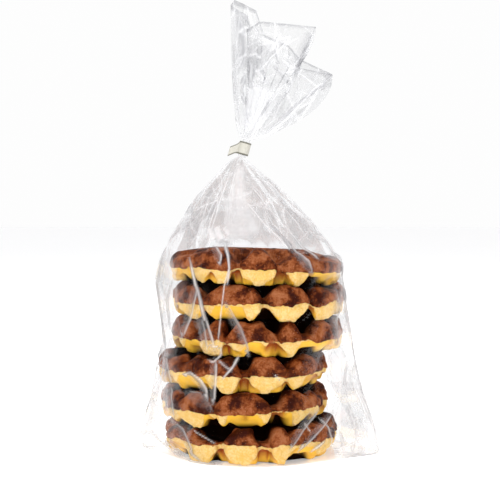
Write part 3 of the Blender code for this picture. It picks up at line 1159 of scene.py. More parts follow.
# The folds and glints of the photograph's bag, as paths of (x, z, half width) in millimetres with
# the painted grey, the painted white glint of the edges and the painted glare.
FOLDS = (
    # Over the stack
    Fold(((-35.3, 109.4, 0.4), (-33.1, 100.6, 0.5), (-30.9, 93.8, 0.6), (-28.7, 86.5, 0.7),
          (-26.1, 76.6, 0.9), (-23.4, 66.8, 1.3), (-21.8, 60.5, 1.4)), 0.5, 0.9),
    Fold(((-31.4, 94.9, 1.2), (-34.2, 85.7, 1.9), (-35.8, 77.6, 1.4), (-39.8, 66, 0.8)), 0.5, 0.5),
    Fold(((-30.9, 76.9, 3.2), (-28.2, 71.2, 2.1), (-26.1, 61.3, 1.3)), 0.5, 0.4),
    Fold(((-12.3, 108, 0.3), (-15.4, 95.9, 0.3), (-17.6, 78.6, 0.3), (-19.4, 64.3, 0.3)), 0, 0.8),
    Fold(((-14.9, 86.5, 0.7), (-11.8, 78.2, 1.7), (-8.6, 72.5, 1.8), (-5, 64.7, 1.2),
          (-2.9, 58.9, 0.5)), 0.5, 0.3),
    Fold(((-25, 63.5, 0.8), (-20.7, 61.6, 1.6), (-18.1, 63.3, 0.5)), 0.3, 0.9),
    Fold(((-17.6, 63.9, 0.4), (-17.6, 59.1, 0.4), (-21.8, 55.2, 0.4), (-25, 56.1, 0.3)), 0.2, 0.9),
    Fold(((-21.8, 56.3, 1.6), (-21.8, 45.7, 1.5), (-22.1, 39.4, 1.3), (-21.8, 33.1, 0.6)), 0.5, 0.8),
    Fold(((-38.7, 47.3, 0.6), (-34.8, 47.3, 1.3), (-29.9, 44.1, 1.6), (-26.6, 40.1, 1.3),
          (-24.5, 35.5, 0.3)), 0.8, 1),
    Fold(((-19.2, 56.4, 0.4), (-14.9, 52.9, 0.5), (-11.8, 50.9, 0.3)), 0.2, 0.7),
    Fold(((-17, 46.5, 0.3), (-11.3, 53, 0.5), (-8.1, 58.9, 0.7)), 0.3, 0.9),
    Fold(((-45.1, 20.2, 1.1), (-40.5, 16.4, 1.6), (-36, 10.2, 1.6), (-33.2, 4.7, 0.5),
          (-27.8, 1.2, 0.3)), 0.5, 0.4),
    Fold(((-32.6, 18.2, 0.3), (-20.8, 11.4, 0.3)), 0, 0.7),
    Fold(((-37, 36.8, 1.6), (-30.4, 35.5, 3.2), (-25, 31.8, 2.1), (-22.4, 28.8, 0.5)), 0.3, 0.2),
    Fold(((-48.7, 39.5, 2.2), (-46.3, 29.2, 2.7), (-43.9, 22.7, 1.1)), 0.5, 0.4),
    Fold(((-21.4, 115.9, 1.1), (-19.2, 110.9, 1.9), (-18.1, 106.3, 0.3)), 0.5, 0.8),
    Fold(((-15.6, 117, 1.1), (-13.4, 111, 0.6), (-12.8, 104.8, 0.3), (-13.9, 95.9, 0.3)), 0.5, 1),
    Fold(((-21, 120, 1.1), (-17.7, 117.5, 2.1), (-12.4, 116, 1.6)), 0.8, 0.9),
    Fold(((6.7, 128.5, 0.4), (14.6, 120.1, 0.5), (21.4, 112.8, 1.1), (26.6, 107.6, 1.8),
          (30.5, 101.6, 0.8)), 0.6, 0.6),
    Fold(((18.5, 123.1, 0.4), (25.9, 115.7, 0.5), (32.2, 109.4, 0.4)), 0.2, 0.8),
    Fold(((44.3, 92.5, 1.6), (45.6, 83.1, 1.9), (44.4, 74, 1.4), (43.8, 61.6, 1.1)), 0.5, 0.3),
    Fold(((-50.5, 55.5, 2.2), (-49.3, 46.5, 2.7), (-47.5, 39.8, 1.6)), 0.5, 0.5),
    Fold(((33.4, 28.7, 1.6), (26.8, 21.1, 1.7), (21.9, 14.2, 1.5), (19.2, 8.6, 0.5)), 0.5, 0.4),
    Fold(((40.9, 25.7, 1.3), (35.7, 19.2, 1.5), (30.1, 13.7, 1.3), (23.5, 7.1, 0.5)), 0.5, 0.6),
    Fold(((26.8, 22.1, 0.3), (30.6, 16.8, 0.3)), 0, 0.7),
    Fold(((34.5, 23.7, 0.3), (39.7, 18.4, 0.3), (42.7, 11.6, 0.3), (42.1, 5.8, 0.3)), 0.1, 0.7),
    Fold(((30.1, 6.2, 0.3), (34.6, 8.6, 0.6), (38.6, 11.1, 0.3)), 0.4, 0.8),
    Fold(((-58.3, 9, 0.3), (-49.4, 5.8, 0.5), (-42.8, 2.3, 0.4), (-31.6, 0.7, 0.3),
          (-17.6, 0.2, 0.3)), 0.2, 0.8),
    Fold(((-49.4, 8.5, 0.5), (-45.7, 4.8, 1.1), (-40.5, 3.4, 0.5)), 0.4, 0.8),
    Fold(((10.7, 48.7, 0.3), (13.9, 45.4, 0.3)), 0, 0.7),
    # On the cone
    Fold(((-16.3, 154.7, 0.8), (-26.8, 140.8, 2.2), (-38.3, 128.1, 2.2), (-47.7, 118.2, 1.1)), 0.42, 0.5),
    Fold(((-18.8, 141.9, 1.4), (-22.6, 135.9, 2.7), (-26.3, 129.9, 1.6)), 0.5, 0.4),
    Fold(((-28.2, 132.6, 0.8), (-33.3, 122.4, 1.7), (-35.7, 115.5, 0.8)), 0.4, 0.7),
    Fold(((-7.9, 164.2, 0.8), (-6.8, 158.6, 1.4), (-5.1, 152.4, 1)), 0.6, 0.3),
    Fold(((-3.4, 149, 1.4), (0.9, 143, 2.7), (4.1, 138.6, 1.6)), 0.42, 0.6),
    Fold(((3.6, 138.1, 1.6), (6.8, 132.7, 2.7), (11, 127.9, 1.6)), 0.42, 0.5),
    Fold(((15.7, 140.3, 1.1), (23.3, 129.9, 3.5), (31.4, 122.3, 1.6)), 0.42, 0.5),
    Fold(((3.2, 152.9, 0.6), (10.8, 144.7, 1.4), (18.5, 137, 0.5)), 0.4, 0.8),
    Fold(((34.7, 123.1, 0.4), (41.3, 118.2, 0.8), (45.4, 109.6, 0.4)), 0.2, 0.8),
    Fold(((23.8, 118.4, 0.4), (30.5, 124.4, 0.5), (36.8, 120.4, 0.4)), 0.1, 0.9, 0.3),
    Fold(((-12.9, 157, 0.3), (-18.2, 140.3, 0.4), (-22.7, 123.1, 0.4), (-25.1, 113.8, 0.3)), 0, 0.9),
    Fold(((-10.1, 158.1, 0.3), (-13.3, 143, 0.4), (-12.5, 128.5, 0.3)), 0, 0.8),
    Fold(((-4.5, 140.3, 0.3), (3.5, 128.5, 0.5), (18.2, 113.9, 0.4)), 0, 1, 0.3),
    Fold(((-1.8, 148.5, 0.3), (10.6, 132.2, 0.5), (23.8, 117.3, 0.4)), 0.1, 0.9),
    Fold(((15.1, 137.5, 0.3), (17, 126.8, 0.4), (17.2, 116.4, 0.3)), 0, 0.9),
    Fold(((-22.9, 147.5, 0.3), (-19.4, 140.8, 0.5), (-19.7, 134.3, 0.3)), 0, 0.9, 0.3),
    Fold(((-24.2, 125.5, 1.2), (-21.2, 118.6, 1.9)), 0.1, 0.5, 0.7),
    Fold(((-20.4, 126.2, 1.6), (-17.2, 118.2, 2.1)), 0.1, 0.5, 0.8),
    Fold(((-16.2, 125.4, 1.8), (-12.2, 120.6, 1.1)), 0.1, 0.4, 0.7),
    Fold(((-14.3, 137, 0.3), (-8.3, 135.4, 0.4), (-1.8, 138.6, 0.3)), 0, 0.8),
    Fold(((-13.2, 134.3, 0.5), (-12.5, 125.9, 1.2)), 0.25, 0.8),
    Fold(((-4.5, 128.5, 1.1), (-2.9, 117.6, 2.3)), 0.3, 0.3),
    Fold(((-35.6, 138.1, 0.6), (-40, 128.6, 1.2)), 0.35, 0.3),
    Fold(((-46, 122.6, 0.3), (-51, 115.4, 0.4), (-52.4, 106.2, 0.3)), 0, 0.8),
    Fold(((9.1, 142.4, 0.4), (5.7, 135.9, 0.5), (10.6, 133.8, 0.4)), 0, 1, 0.4),
    Fold(((-0.2, 145.7, 0.5), (-8.3, 141.3, 1.1), (-13.8, 140.3, 0.5)), 0, 0.6, 0.5),
    # At both sides and the lower corners
    Fold(((-51.2, 112.5, 0.3), (-55.1, 93.1, 0.3), (-51.9, 68, 0.3), (-49.7, 55.7, 0.3)), 0.5, 0.3),
    Fold(((-51.2, 105.9, 0.8), (-52.9, 93.1, 1.7), (-50.2, 83.6, 0.8)), 0.25, 0.6),
    Fold(((-46.2, 95.9, 0.3), (-49.6, 84.7, 0.6), (-47.4, 68, 0.4)), 0.3, 0.5),
    Fold(((-52.4, 59.6, 0.3), (-58.1, 37.2, 0.3), (-62.6, 17.6, 0.3)), 0.5, 0.2),
    Fold(((-49.7, 59, 0.6), (-54.2, 42.8, 1.4), (-57.6, 27.7, 0.7)), 0.25, 0.6),
    Fold(((-58.7, 29.9, 0.8), (-61.5, 15.9, 1.7), (-65.4, 8.6, 0.8)), 0.3, 0.4),
    Fold(((-66.5, 7.5, 0.4), (-58.7, 10.3, 0.9), (-51.5, 6.4, 0.4)), 0.3, 0.8),
    Fold(((-64.3, 3, 0.3), (-57.6, -2.1, 0.6), (-49.8, -4.3, 0.3)), 0.3, 0.8),
    Fold(((44.8, 112, 0.3), (49.3, 93.1, 0.3), (53.9, 68, 0.3), (59.5, 37.2, 0.3), (66.9, 13.1, 0.3),
          (69.1, 0.8, 0.3)), 0.5, 0.2),
    Fold(((47.7, 98.6, 0.4), (51, 79.1, 0.9), (52.8, 62.4, 0.4)), 0.25, 0.5),
    Fold(((48.9, 56.8, 0.8), (53.9, 42.8, 2), (59.6, 28.8, 1.3), (64.1, 17.6, 0.6)), 0.3, 0.6),
    Fold(((50, 51.2, 0.4), (48.4, 34.4, 1.1), (54, 17.6, 0.6)), 0.3, 0.7),
    Fold(((56.7, 37.2, 0.3), (61.2, 28.8, 0.7), (65.2, 17.6, 0.6), (66.9, 6.4, 0.3)), 0.3, 0.8),
    Fold(((52.9, 21, 0.6), (55.7, 12, 1.1), (54.1, 3, 0.6)), 0.35, 0.8),
    Fold(((59.6, 15.4, 0.4), (64.1, 3, 0.8)), 0.1, 0.9),
    Fold(((47.3, 14.8, 0.4), (50.1, 5.8, 0.8)), 0.3, 0.6),
    Fold(((44.6, -2.1, 0.3), (55.7, 0.8, 0.6), (68.6, 0.2, 0.3)), 0.3, 0.7),
    # In the fan
    Fold(((-10.6, 243.4, 1.7), (-8.4, 230.8, 2.8), (-7.8, 219.9, 2.8), (-9.5, 210.6, 1.7)), 0.42, 0.3),
    Fold(((-11.1, 248.3, 0.4), (-5.1, 240.1, 0.6), (-1.3, 233.6, 0.4)), 0.6, 0.3),
    Fold(((-8.9, 247.8, 0.3), (-1.8, 239, 0.4), (4.2, 229.2, 0.3)), 0.2, 0.8),
    Fold(((29.5, 233.6, 2.2), (26.2, 222.6, 3.3), (23.5, 210.1, 2.2)), 0.42, 0.5),
    Fold(((5.9, 236.8, 0.8), (18, 235.7, 1.7), (31.2, 234.1, 1.1)), 0.3, 0.3),
    Fold(((11.9, 228.6, 1.1), (10.8, 221, 1.7), (12.5, 216.1, 1.1)), 0.5, 0.9),
    Fold(((9.2, 221.5, 0.4), (13, 228.6, 0.7), (19.6, 229.7, 0.6), (16.9, 225.4, 0.3)), 0.2, 1, 0.6),
    Fold(((14.7, 218.3, 0.4), (19.1, 213.9, 0.8), (24, 212.2, 0.6), (16.3, 209.5, 0.3)), 0.2, 1, 0.5),
    Fold(((-2.9, 218.8, 0.3), (0.9, 220.5, 0.7), (4.2, 218.3, 0.4)), 0.2, 1, 0.6),
    Fold(((-1.8, 216.1, 1.1), (-2.9, 207.3, 1.7), (-0.7, 201.8, 0.8)), 0.4, 0.7),
    Fold(((3.1, 212.8, 0.7), (6.5, 204, 1.3)), 0.45, 0.6),
    Fold(((-5.6, 209.5, 0.6), (-7.3, 200.7, 1.1), (-5.1, 193.1, 0.6)), 0.4, 0.7),
    Fold(((10.8, 213.9, 0.8), (15.8, 207.3, 1.4), (20.2, 202.9, 0.9)), 0.4, 0.6),
    Fold(((30.6, 216.6, 1.1), (34.5, 210.6, 2.2), (40, 210.1, 1.1)), 0.3, 0.3),
    Fold(((38.4, 202.4, 0.8), (41.6, 207.9, 1.4)), 0.55, 0.5),
    Fold(((1, 172.2, 0.3), (18, 184.8, 0.4), (34.5, 202.4, 0.4), (43.3, 209, 0.3)), 0.1, 0.9),
    Fold(((4.8, 175, 0.3), (24.1, 193.1, 0.4), (41.7, 206.8, 0.3)), 0.45, 0.4),
    Fold(((-0.1, 168.4, 0.3), (10.3, 171.7, 0.3), (18.6, 177.2, 0.3), (24.1, 185.4, 0.3)), 0.5, 0.2),
    Fold(((-11.7, 187.6, 0.6), (-10.1, 179.9, 1.2), (-6.8, 174.4, 0.6)), 0.4, 0.7),
    Fold(((-2.9, 190.9, 0.4), (-1.8, 181, 0.4)), 0.1, 0.9, 0.4),
    Fold(((8.1, 196.4, 0.6), (3.7, 183.2, 1), (-0.7, 172.8, 0.6)), 0.35, 0.8),
    Fold(((17.5, 199.6, 1.1), (9.8, 185.4, 1.2), (3.7, 177.7, 0.6)), 0.35, 0.5),
    Fold(((5.9, 199.6, 0.8), (3.7, 190.9, 1.7), (0.4, 183.2, 1.1)), 0, 0.6, 0.5),
    # Broad glints below and above the neck
    Fold(((-7, 162, 2), (-9, 146, 6), (-9, 132, 12), (-4, 116, 14)), 0, 0, 0.42),
    Fold(((-4, 177, 3), (0, 187, 8), (3, 196, 11), (6, 205, 9)), 0, 0, 0.35),
)


@dataclass
class Film:
    """The film of the bag: a smooth loft through the bag's levels with facets and creases on it."""

    back_columns: int = 170
    front_columns: int = 330
    step: float = 0.80 * MM
    base_rows: int = 10
    neck_radius: float = 2.2 * MM
    neck_rows: int = 6
    base_turn: float = math.radians(-11)
    base_turn_top: float = 0.060
    pleats: int = 12
    pleat_depth: float = 0.8 * MM
    pleats_start: float = 0.090
    cone_top: float = 0.162
    fan_rows: int = 78
    fan_pleats: int = 24
    fan_pleat_depth: float = 0.7 * MM
    span: float = 0.320
    half_span: float = 0.095
    # Where the film hangs free of the waffles: beside its middle, and above the stack.
    middle: float = -0.002
    loose_beside: tuple[float, float] = (0.041, 0.052)
    loose_above: tuple[float, float] = (0.112, 0.126)
    # Where the fan begins, and how far from the neck the painted grey thins out.
    fan_from: tuple[float, float] = (0.176, 0.190)
    neck_middle: float = 0.170
    neck_near: tuple[float, float] = (0.010, 0.034)
    edge_fade: float = 8.0 * MM
    # How far the film hangs inside its outline, the height and the ring size from which its relief
    # is whole, and how far it keeps off the table.
    slack: float = 0.9 * MM
    whole_from: float = 6 * MM
    whole_size: float = 0.03
    floor_gap: float = 0.15 * MM
    crease_line: float = 0.95 * MM
    crease_reach: float = 8.0 * MM
    # The painted grey given at least to the mouth's last rings and to the whole fan.
    mouth_painted_grey: float = 0.7
    fan_painted_grey: float = 0.10
    clear_rows: int = 100
    clear_top: int = 8
    clear_columns: int = 240
    clear_step: float = 1.4 * MM
    clear_gap: float = 0.4 * MM
    # Count, height where they start, shortest and longest run up, and spread to the sides.
    long_runs: tuple = ((36, 0.165, -0.065, -0.025, 0.010), (40, 0.172, 0.030, 0.080, 0.010))
    # Count, shortest and longest, and the most that they stand off in millimetres.
    short_runs: tuple = ((26, 0.030, 0.070, 0.50), (56, 0.008, 0.025, 0.25))
    # Height of a level, left edge, right edge, middle of the round part, and half its depth.
    levels: tuple = (
        (0.0000, -0.0682, 0.0690, 0.0000, 0.0475),
        (0.0025, -0.0697, 0.0708, 0.0000, 0.0492),
        (0.0130, -0.0660, 0.0696, -0.0008, 0.0500),
        (0.0300, -0.0594, 0.0645, -0.0030, 0.0500),
        (0.0440, -0.0562, 0.0592, -0.0038, 0.0500),
        (0.0560, -0.0540, 0.0568, -0.0030, 0.0500),
        (0.0670, -0.0528, 0.0553, 0.0002, 0.0500),
        (0.0815, -0.0544, 0.0525, 0.0012, 0.0500),
        (0.0960, -0.0561, 0.0498, 0.0008, 0.0500),
        (0.1050, -0.0542, 0.0482, -0.0008, 0.0498),
        (0.1120, -0.0510, 0.0448, -0.0025, 0.0480),
        (0.1240, -0.0448, 0.0360, -0.0048, 0.0405),
        (0.1375, -0.0364, 0.0250, -0.0058, 0.0300),
        (0.1500, -0.0255, 0.0120, -0.0068, 0.0185),
        (0.1590, -0.0172, 0.0005, -0.0084, 0.0085),
        (0.1620, -0.0140, -0.0030, -0.0088, 0.0050),
    )
    # Share of the way round, place and rise of each corner of the mouth.
    mouth: tuple = (
        (0 / 72, (0.0445, 0.0060, 0.2105), 1.15),
        (5 / 72, (0.0275, 0.0120, 0.2190), 1.15),
        (12 / 72, (0.0200, 0.0190, 0.2280), 1.10),
        (19 / 72, (0.0060, 0.0120, 0.2330), 1.20),
        (25 / 72, (0.0010, 0.0130, 0.2475), 1.40),
        (31 / 72, (-0.0060, 0.0080, 0.2507), 1.80),
        (35 / 72, (-0.0112, 0.0010, 0.2515), 2.00),
        (37 / 72, (-0.0136, -0.0020, 0.2480), 2.00),
        (42 / 72, (-0.0045, -0.0080, 0.2420), 1.40),
        (47 / 72, (-0.0035, -0.0150, 0.2330), 1.10),
        (52 / 72, (0.0040, -0.0070, 0.2385), 0.90),
        (64 / 72, (0.0340, -0.0110, 0.2350), 0.65),
        (68 / 72, (0.0250, -0.0020, 0.2140), 0.90),
    )

    @property
    def columns(self) -> int:
        """How many points each ring has."""
        return self.back_columns + self.front_columns

    def round(self) -> np.ndarray:
        """The angle of each column, from the right edge round the back, closer in front.

        Returns:
            The angles, in radians.
        """
        back = np.linspace(0, math.pi, self.back_columns, endpoint=False)
        front = np.linspace(math.pi, 2 * math.pi, self.front_columns, endpoint=False)
        return np.concatenate([back, front])

    def level(self, height: float) -> list[float]:
        """The left edge, right edge, middle and half depth at a height, on a smooth curve."""
        table = np.array(self.levels)
        return [self.smooth_read(table[:, 0], table[:, column], height) for column in range(1, 5)]

    @staticmethod
    def smooth_read(heights: np.ndarray, values: np.ndarray, height: float) -> float:
        """Reads a table on a curve whose slope at each row is its neighbours' smaller one.

        Args:
            heights: the rows' heights.
            values: the rows' values.
            height: the height to read at.

        Returns:
            The value.
        """
        slopes = np.diff(values) / np.diff(heights)
        before, after = slopes[:-1], slopes[1:]
        least = np.minimum(np.minimum(np.abs(before), np.abs(after)), np.abs(before + after) / 2)
        inner = np.where(before * after > 0, np.sign(after) * least, 0.0)
        slope = np.concatenate([slopes[:1], inner, slopes[-1:]])
        low = int(np.clip(np.searchsorted(heights, height, side="right") - 1, 0, len(heights) - 2))
        span = heights[low + 1] - heights[low]
        share = (height - heights[low]) / span
        square, cube = share**2, share**3
        return float(values[low] + slope[low] * span * (cube - 2 * square + share)
                     + (values[low + 1] - values[low]) * (3 * square - 2 * cube)
                     + slope[low + 1] * span * (cube - square))

    @staticmethod
    def zigzag(share: np.ndarray, count: int) -> np.ndarray:
        """A crease wave from -1 in a valley to 1 on a ridge, count times over a share of 1."""
        phase = (share * count) % 1.0
        return 1 - 4 * np.minimum(phase, 1 - phase)

    def body_ring(self, height: float) -> np.ndarray:
        """The film's points at one level below the tie.

        Args:
            height: the level's height.

        Returns:
            The ring's points.
        """
        left, right, middle, half_depth = self.level(height)
        turn = self.base_turn * max(1 - height / self.base_turn_top, 0.0)
        gathered = (height - self.pleats_start) / (self.cone_top - self.pleats_start)
        gathered = min(max(gathered, 0.0), 1.0)
        depth = self.pleat_depth * math.sin(math.pi * gathered) ** 0.8
        angle = self.round()
        off = np.abs(np.arctan2(np.sin(angle), np.abs(np.cos(angle))))
        edge = np.where(np.cos(angle) >= 0, right - middle, middle - left)
        leaves = np.arccos(np.clip(half_depth / edge, 0.0, 1.0))
        tangent = np.where(off < leaves, half_depth / np.cos(leaves - off), half_depth)
        oval = edge / np.hypot(np.cos(angle), np.sin(angle) * edge / half_depth)
        reach = np.where(edge > half_depth, tangent, oval)
        reach = reach + depth * (self.zigzag(angle / (2 * math.pi), self.pleats) - 0.5)
        x, y = middle + reach * np.cos(angle), reach * np.sin(angle)
        return np.stack([x * math.cos(turn) - y * math.sin(turn),
                         x * math.sin(turn) + y * math.cos(turn), np.full_like(x, height)], axis=1)

    def neck_ring(self, centre: tuple[float, float, float]) -> np.ndarray:
        """The gathered film inside the tie, square to the leaning neck.

        Args:
            centre: the ring's middle.

        Returns:
            The ring's points.
        """
        lean = (NECK_HIGH[0] - NECK_LOW[0]) / (NECK_HIGH[2] - NECK_LOW[2])
        angle = self.round()
        x, y = self.neck_radius * np.cos(angle), self.neck_radius * np.sin(angle)
        return np.array(centre) + np.stack([x, y, -lean * x], axis=1)

    def fan_ring(self, share: float) -> np.ndarray:
        """The film's points at one level above the tie.

        Args:
            share: how far up the ring is, from 0 at the neck to 1 at the mouth.

        Returns:
            The ring's points.
        """
        around = self.round() / (2 * math.pi)
        corners = list(self.mouth) + [(1.0, *self.mouth[0][1:])]
        places = [corner[0] for corner in corners]
        end = np.stack([np.interp(around, places, [corner[1][axis] for corner in corners])
                        for axis in range(3)], axis=1)
        rise = np.interp(around, places, [corner[2] for corner in corners])
        start = self.neck_ring(NECK_HIGH)
        spread = 1 - (1 - share) ** 2
        points = start + (end - start) * spread
        points[:, 2] = start[:, 2] + (end[:, 2] - start[:, 2]) * share**rise
        outward = points[:, :2] - np.array(NECK_HIGH[:2])
        outward /= np.linalg.norm(outward, axis=1, keepdims=True) + 1e-9
        wave = self.fan_pleat_depth * math.sin(math.pi * share)
        wave = wave * self.zigzag(around, self.fan_pleats)
        points[:, :2] += outward * wave[:, None]
        return points

    def rings(self) -> np.ndarray:
        """All rings of the film, from the flat base to the mouth.

        Returns:
            The points as (ring, place in the ring, xyz).
        """
        count = int(self.cone_top / self.step)
        shares = np.linspace(0.06, 0.94, self.base_rows)
        rows = [self.body_ring(0.0) * np.array([share, share, 1.0]) for share in shares]
        rows += [self.body_ring(self.cone_top * n / count) for n in range(count + 1)]
        low, high = np.array(NECK_LOW), np.array(NECK_HIGH)
        rows += [self.neck_ring(tuple(low * (1 - share) + high * share))
                 for share in np.linspace(0, 1, self.neck_rows)]
        rows += [self.fan_ring((n + 1) / self.fan_rows) for n in range(self.fan_rows)]
        return np.array(rows)

    def long_creases(self) -> list[Crease]:
        """The creases that run from the tie, down the cone and up the fan, on the flattened film.

        Returns:
            The creases.
        """
        random = np.random.default_rng(7)
        made = []
        for count, start, low, high, spread in self.long_runs:
            for _ in range(count):
                around, run = random.uniform(0, self.span), random.uniform(low, high)
                widths = random.uniform(3.0, 8.0, 2) * MM
                end = (around + random.normal(0, spread), start + run)
                height = random.uniform(0.2, 0.6) * MM
                line = max(random.uniform(-0.6, 1.0), 0.0)
                made.append(Crease((around, start), end, height, *widths, line))
        return made

    def short_creases(self, seed: int) -> list[Crease]:
        """Creases drawn at random over one half of the film, round and up from its middle line.

        Args:
            seed: sets the drawing.

        Returns:
            The creases.
        """
        random = np.random.default_rng(seed)
        made = []
        for count, shortest, longest, most in self.short_runs:
            for _ in range(count):
                around = random.uniform(-self.half_span, self.half_span)
                low = random.uniform(0.0, 0.25)
                length = random.uniform(shortest, longest)
                slant = random.normal(0, 0.5) if longest > 0.03 else random.uniform(0, math.pi)
                end = (around + length * math.sin(slant), low + length * math.cos(slant))
                widths = random.uniform(2.0, 6.0, 2) * MM
                height = random.uniform(-most, most) * MM
                line = max(random.uniform(-0.6, 1.0), 0.0)
                made.append(Crease((around, low), end, height, *widths, line))
        return made

    def lay_crease(self, sheen: Sheen, crease: Crease, where: np.ndarray, place: np.ndarray,
                   loose: np.ndarray) -> None:
        """Lays one crease: a roof whose ridge, with its painted white glint, fades out at both ends.

        Args:
            sheen: what the film shows, which this adds to.
            crease: the crease.
            where: the points' numbers.
            place: how far round and up the film each of them is.
            loose: how freely the film hangs at each of them, from 0 to 1.
        """
        run = np.array(crease.end) - np.array(crease.start)
        length = float(np.hypot(*run))
        run = run / length
        along = (place - crease.start) @ run
        across = (place - crease.start) @ np.array([-run[1], run[0]])
        near = (along > 0) & (along < length) & (np.abs(across) < self.crease_reach)
        near = np.flatnonzero(near)
        along, across = along[near], across[near]
        width = np.where(across > 0, crease.left_width, crease.right_width)
        taper = np.clip(1 - np.abs(2 * along / length - 1), 0.0, 1.0) ** 0.6
        line = np.clip(1 - np.abs(across) / self.crease_line, 0.0, 1.0) ** 1.5
        line = crease.line * taper * line
        relief = crease.height * taper * np.clip(1 - np.abs(across) / width, 0.0, 1.0)
        sheen.lay(where[near], relief, np.zeros(near.size), line * shown(loose[near]))

    def lay_fold(self, sheen: Sheen, fold: Fold, where: np.ndarray, flat: np.ndarray) -> None:
        """Lays one fold on the film's front.

        Args:
            sheen: what the film shows, which this adds to.
            fold: the fold.
            where: the numbers of the front's points.
            flat: their x and z.
        """
        path = np.array(fold.path) * MM
        low, high = path[:, :2].min(axis=0) - fold.margin, path[:, :2].max(axis=0) + fold.margin
        near = np.flatnonzero((flat > low).all(axis=1) & (flat < high).all(axis=1))
        side, width, fade = fold.read(flat[near, 0], flat[near, 1])
        off = np.abs(side)
        wide = width > fold.wide_from
        # Painted light: a wide fold is greyer and glints more on one side than on the other.
        lit = np.where(wide, 0.25 + 0.75 * smoothstep(-1.0, 1.0, side / width), 1.0)
        band = (1.0 - smoothstep(width, width + fold.soft, off)) * (0.4 + 0.6 * fade)
        haze = (1.0 - smoothstep(0.3 * width, width + fold.soft, off)) * fade
        ridge = np.clip(1.0 - np.where(wide, np.abs(off - width), off) / fold.line_half, 0.0, 1.0)
        line = 0.85 * ridge**2 * (0.2 + 0.8 * fade) * lit**1.5
        relief = fold.height * fade * np.clip(1.0 - off / (width + 0.8 * MM), 0.0, 1.0)
        painted_grey = fold.painted_grey * band * np.where(wide, lit, 1.5)
        sheen.lay(where[near], relief, painted_grey, np.maximum(fold.line * line, fold.glare * haze))

    @staticmethod
    def nets(half: int) -> tuple[Net, Net]:
        """The broad and the small facets of one half of the film."""
        return (Net((24 * MM, 27 * MM), 1.5 * MM, seed=3 + half, painted_grey=0.26, line=0.8, greyed=0.40),
                Net((10 * MM, 13 * MM), 0.4 * MM, seed=14 + half, painted_grey=0.14, line=0.6, greyed=0.15))

    def sheen(self, rows: np.ndarray) -> Sheen:
        """What the film shows at each of its points.

        Args:
            rows: the smooth film's points as (ring, place in the ring, xyz).

        Returns:
            The film's relief, painted grey and painted glints.
        """
        ring_count, count = rows.shape[:2]
        points = rows.reshape(-1, 3)
        made = Sheen(*(np.zeros(len(points)) for _ in range(3)))
        beside = smoothstep(*self.loose_beside, np.abs(points[:, 0] - self.middle))
        loose = np.maximum(beside, smoothstep(*self.loose_above, points[:, 2]))
        steps = np.linalg.norm(np.diff(rows, axis=0), axis=2).mean(axis=1)
        along = np.concatenate([[0.0], np.cumsum(steps)])
        height = np.repeat(along - along[self.base_rows], count)
        index = np.arange(len(points)).reshape(ring_count, count)
        split = self.back_columns
        edge = np.zeros(len(points))
        for half, (first, last) in enumerate(((0, split), (split, count))):
            where = index[:, first:last].ravel()
            across, half_way = self.across_half(rows, first, last)
            edge[where] = smoothstep(0.0, self.edge_fade, half_way - np.abs(across))
            place = np.stack([across, height[where]], axis=1)
            for net in self.nets(half):
                net.lay(made, where, place, loose[where])
            for crease in self.short_creases(20 + half):
                self.lay_crease(made, crease, where, place, loose[where])
        made.relief *= edge
        around = np.tile(self.round() / (2 * math.pi) * self.span, ring_count)
        flattened = np.stack([around, height], axis=1)
        for crease in self.long_creases():
            self.lay_crease(made, crease, np.arange(len(points)), flattened, loose)
        front = index[:, split:].ravel()
        for fold in FOLDS:
            self.lay_fold(made, fold, front, points[front][:, (0, 2)])
        # The painted grey thins out by the neck and is stronger in the fan; the mouth's last rings are
        # painted grey whole.
        fan = smoothstep(*self.fan_from, points[:, 2])
        neck = 1.0 - smoothstep(*self.neck_near, np.abs(points[:, 2] - self.neck_middle))
        painted_grey = made.painted_grey * (1.0 - 0.5 * neck) * (1.0 + 0.8 * fan)
        made.painted_grey = np.maximum(painted_grey, self.fan_painted_grey * fan)
        made.painted_grey[index[-2:]] = self.mouth_painted_grey
        return made

    @staticmethod
    def across_half(rows: np.ndarray, first: int, last: int) -> tuple[np.ndarray, np.ndarray]:
        """How far round one half of the film its points are from the half's middle line.

        Args:
            rows: the film's points as (ring, place in the ring, xyz).
            first: the half's first column.
            last: the column after its last.

        Returns:
            The distance at each of its points, and how far the half's edge is.
        """
        gaps = np.linalg.norm(np.roll(rows, -1, axis=1) - rows, axis=2)
        run = np.concatenate([np.zeros((len(rows), 1)), np.cumsum(gaps, axis=1)], axis=1)
        half_way = (run[:, last] - run[:, first]) / 2
        across = run[:, first:last] - run[:, first:first + 1] - half_way[:, None]
        return across.ravel(), np.repeat(half_way, last - first)

    def shift(self, cad_middle: Vector) -> Vector:
        """How far the levels are moved so that the film stands over the frame's bag.

        Args:
            cad_middle: the middle of the frame's bag.

        Returns:
            The shift.
        """
        flat = self.rings()[:, :, :2].reshape(-1, 2)
        middle = (flat.min(axis=0) + flat.max(axis=0)) / 2
        return Vector((cad_middle[0] - middle[0], cad_middle[1] - middle[1], 0.0))

    def clearance(self, contents: np.ndarray) -> np.ndarray:
        """How far the film must stand from the axis to clear the waffles.

        Args:
            contents: the points of the waffles inside.

        Returns:
            The distances, by height and by angle.
        """
        table = np.zeros((self.clear_rows, self.clear_columns))
        row = (contents[:, 2] / self.clear_step).astype(int)
        turns = np.arctan2(contents[:, 1], contents[:, 0]) / (2 * math.pi)
        column = (turns * self.clear_columns).astype(int) % self.clear_columns
        np.maximum.at(table, (row, column), np.hypot(contents[:, 0], contents[:, 1]))
        around = [(row, column) for row in (-1, 0, 1) for column in (-1, 0, 1)]
        for merge in (np.max, np.max, np.mean, np.mean):
            table = merge([np.roll(table, offset, axis=(0, 1)) for offset in around], axis=0)
        table[-self.clear_top:] = 0.0
        return table + self.clear_gap

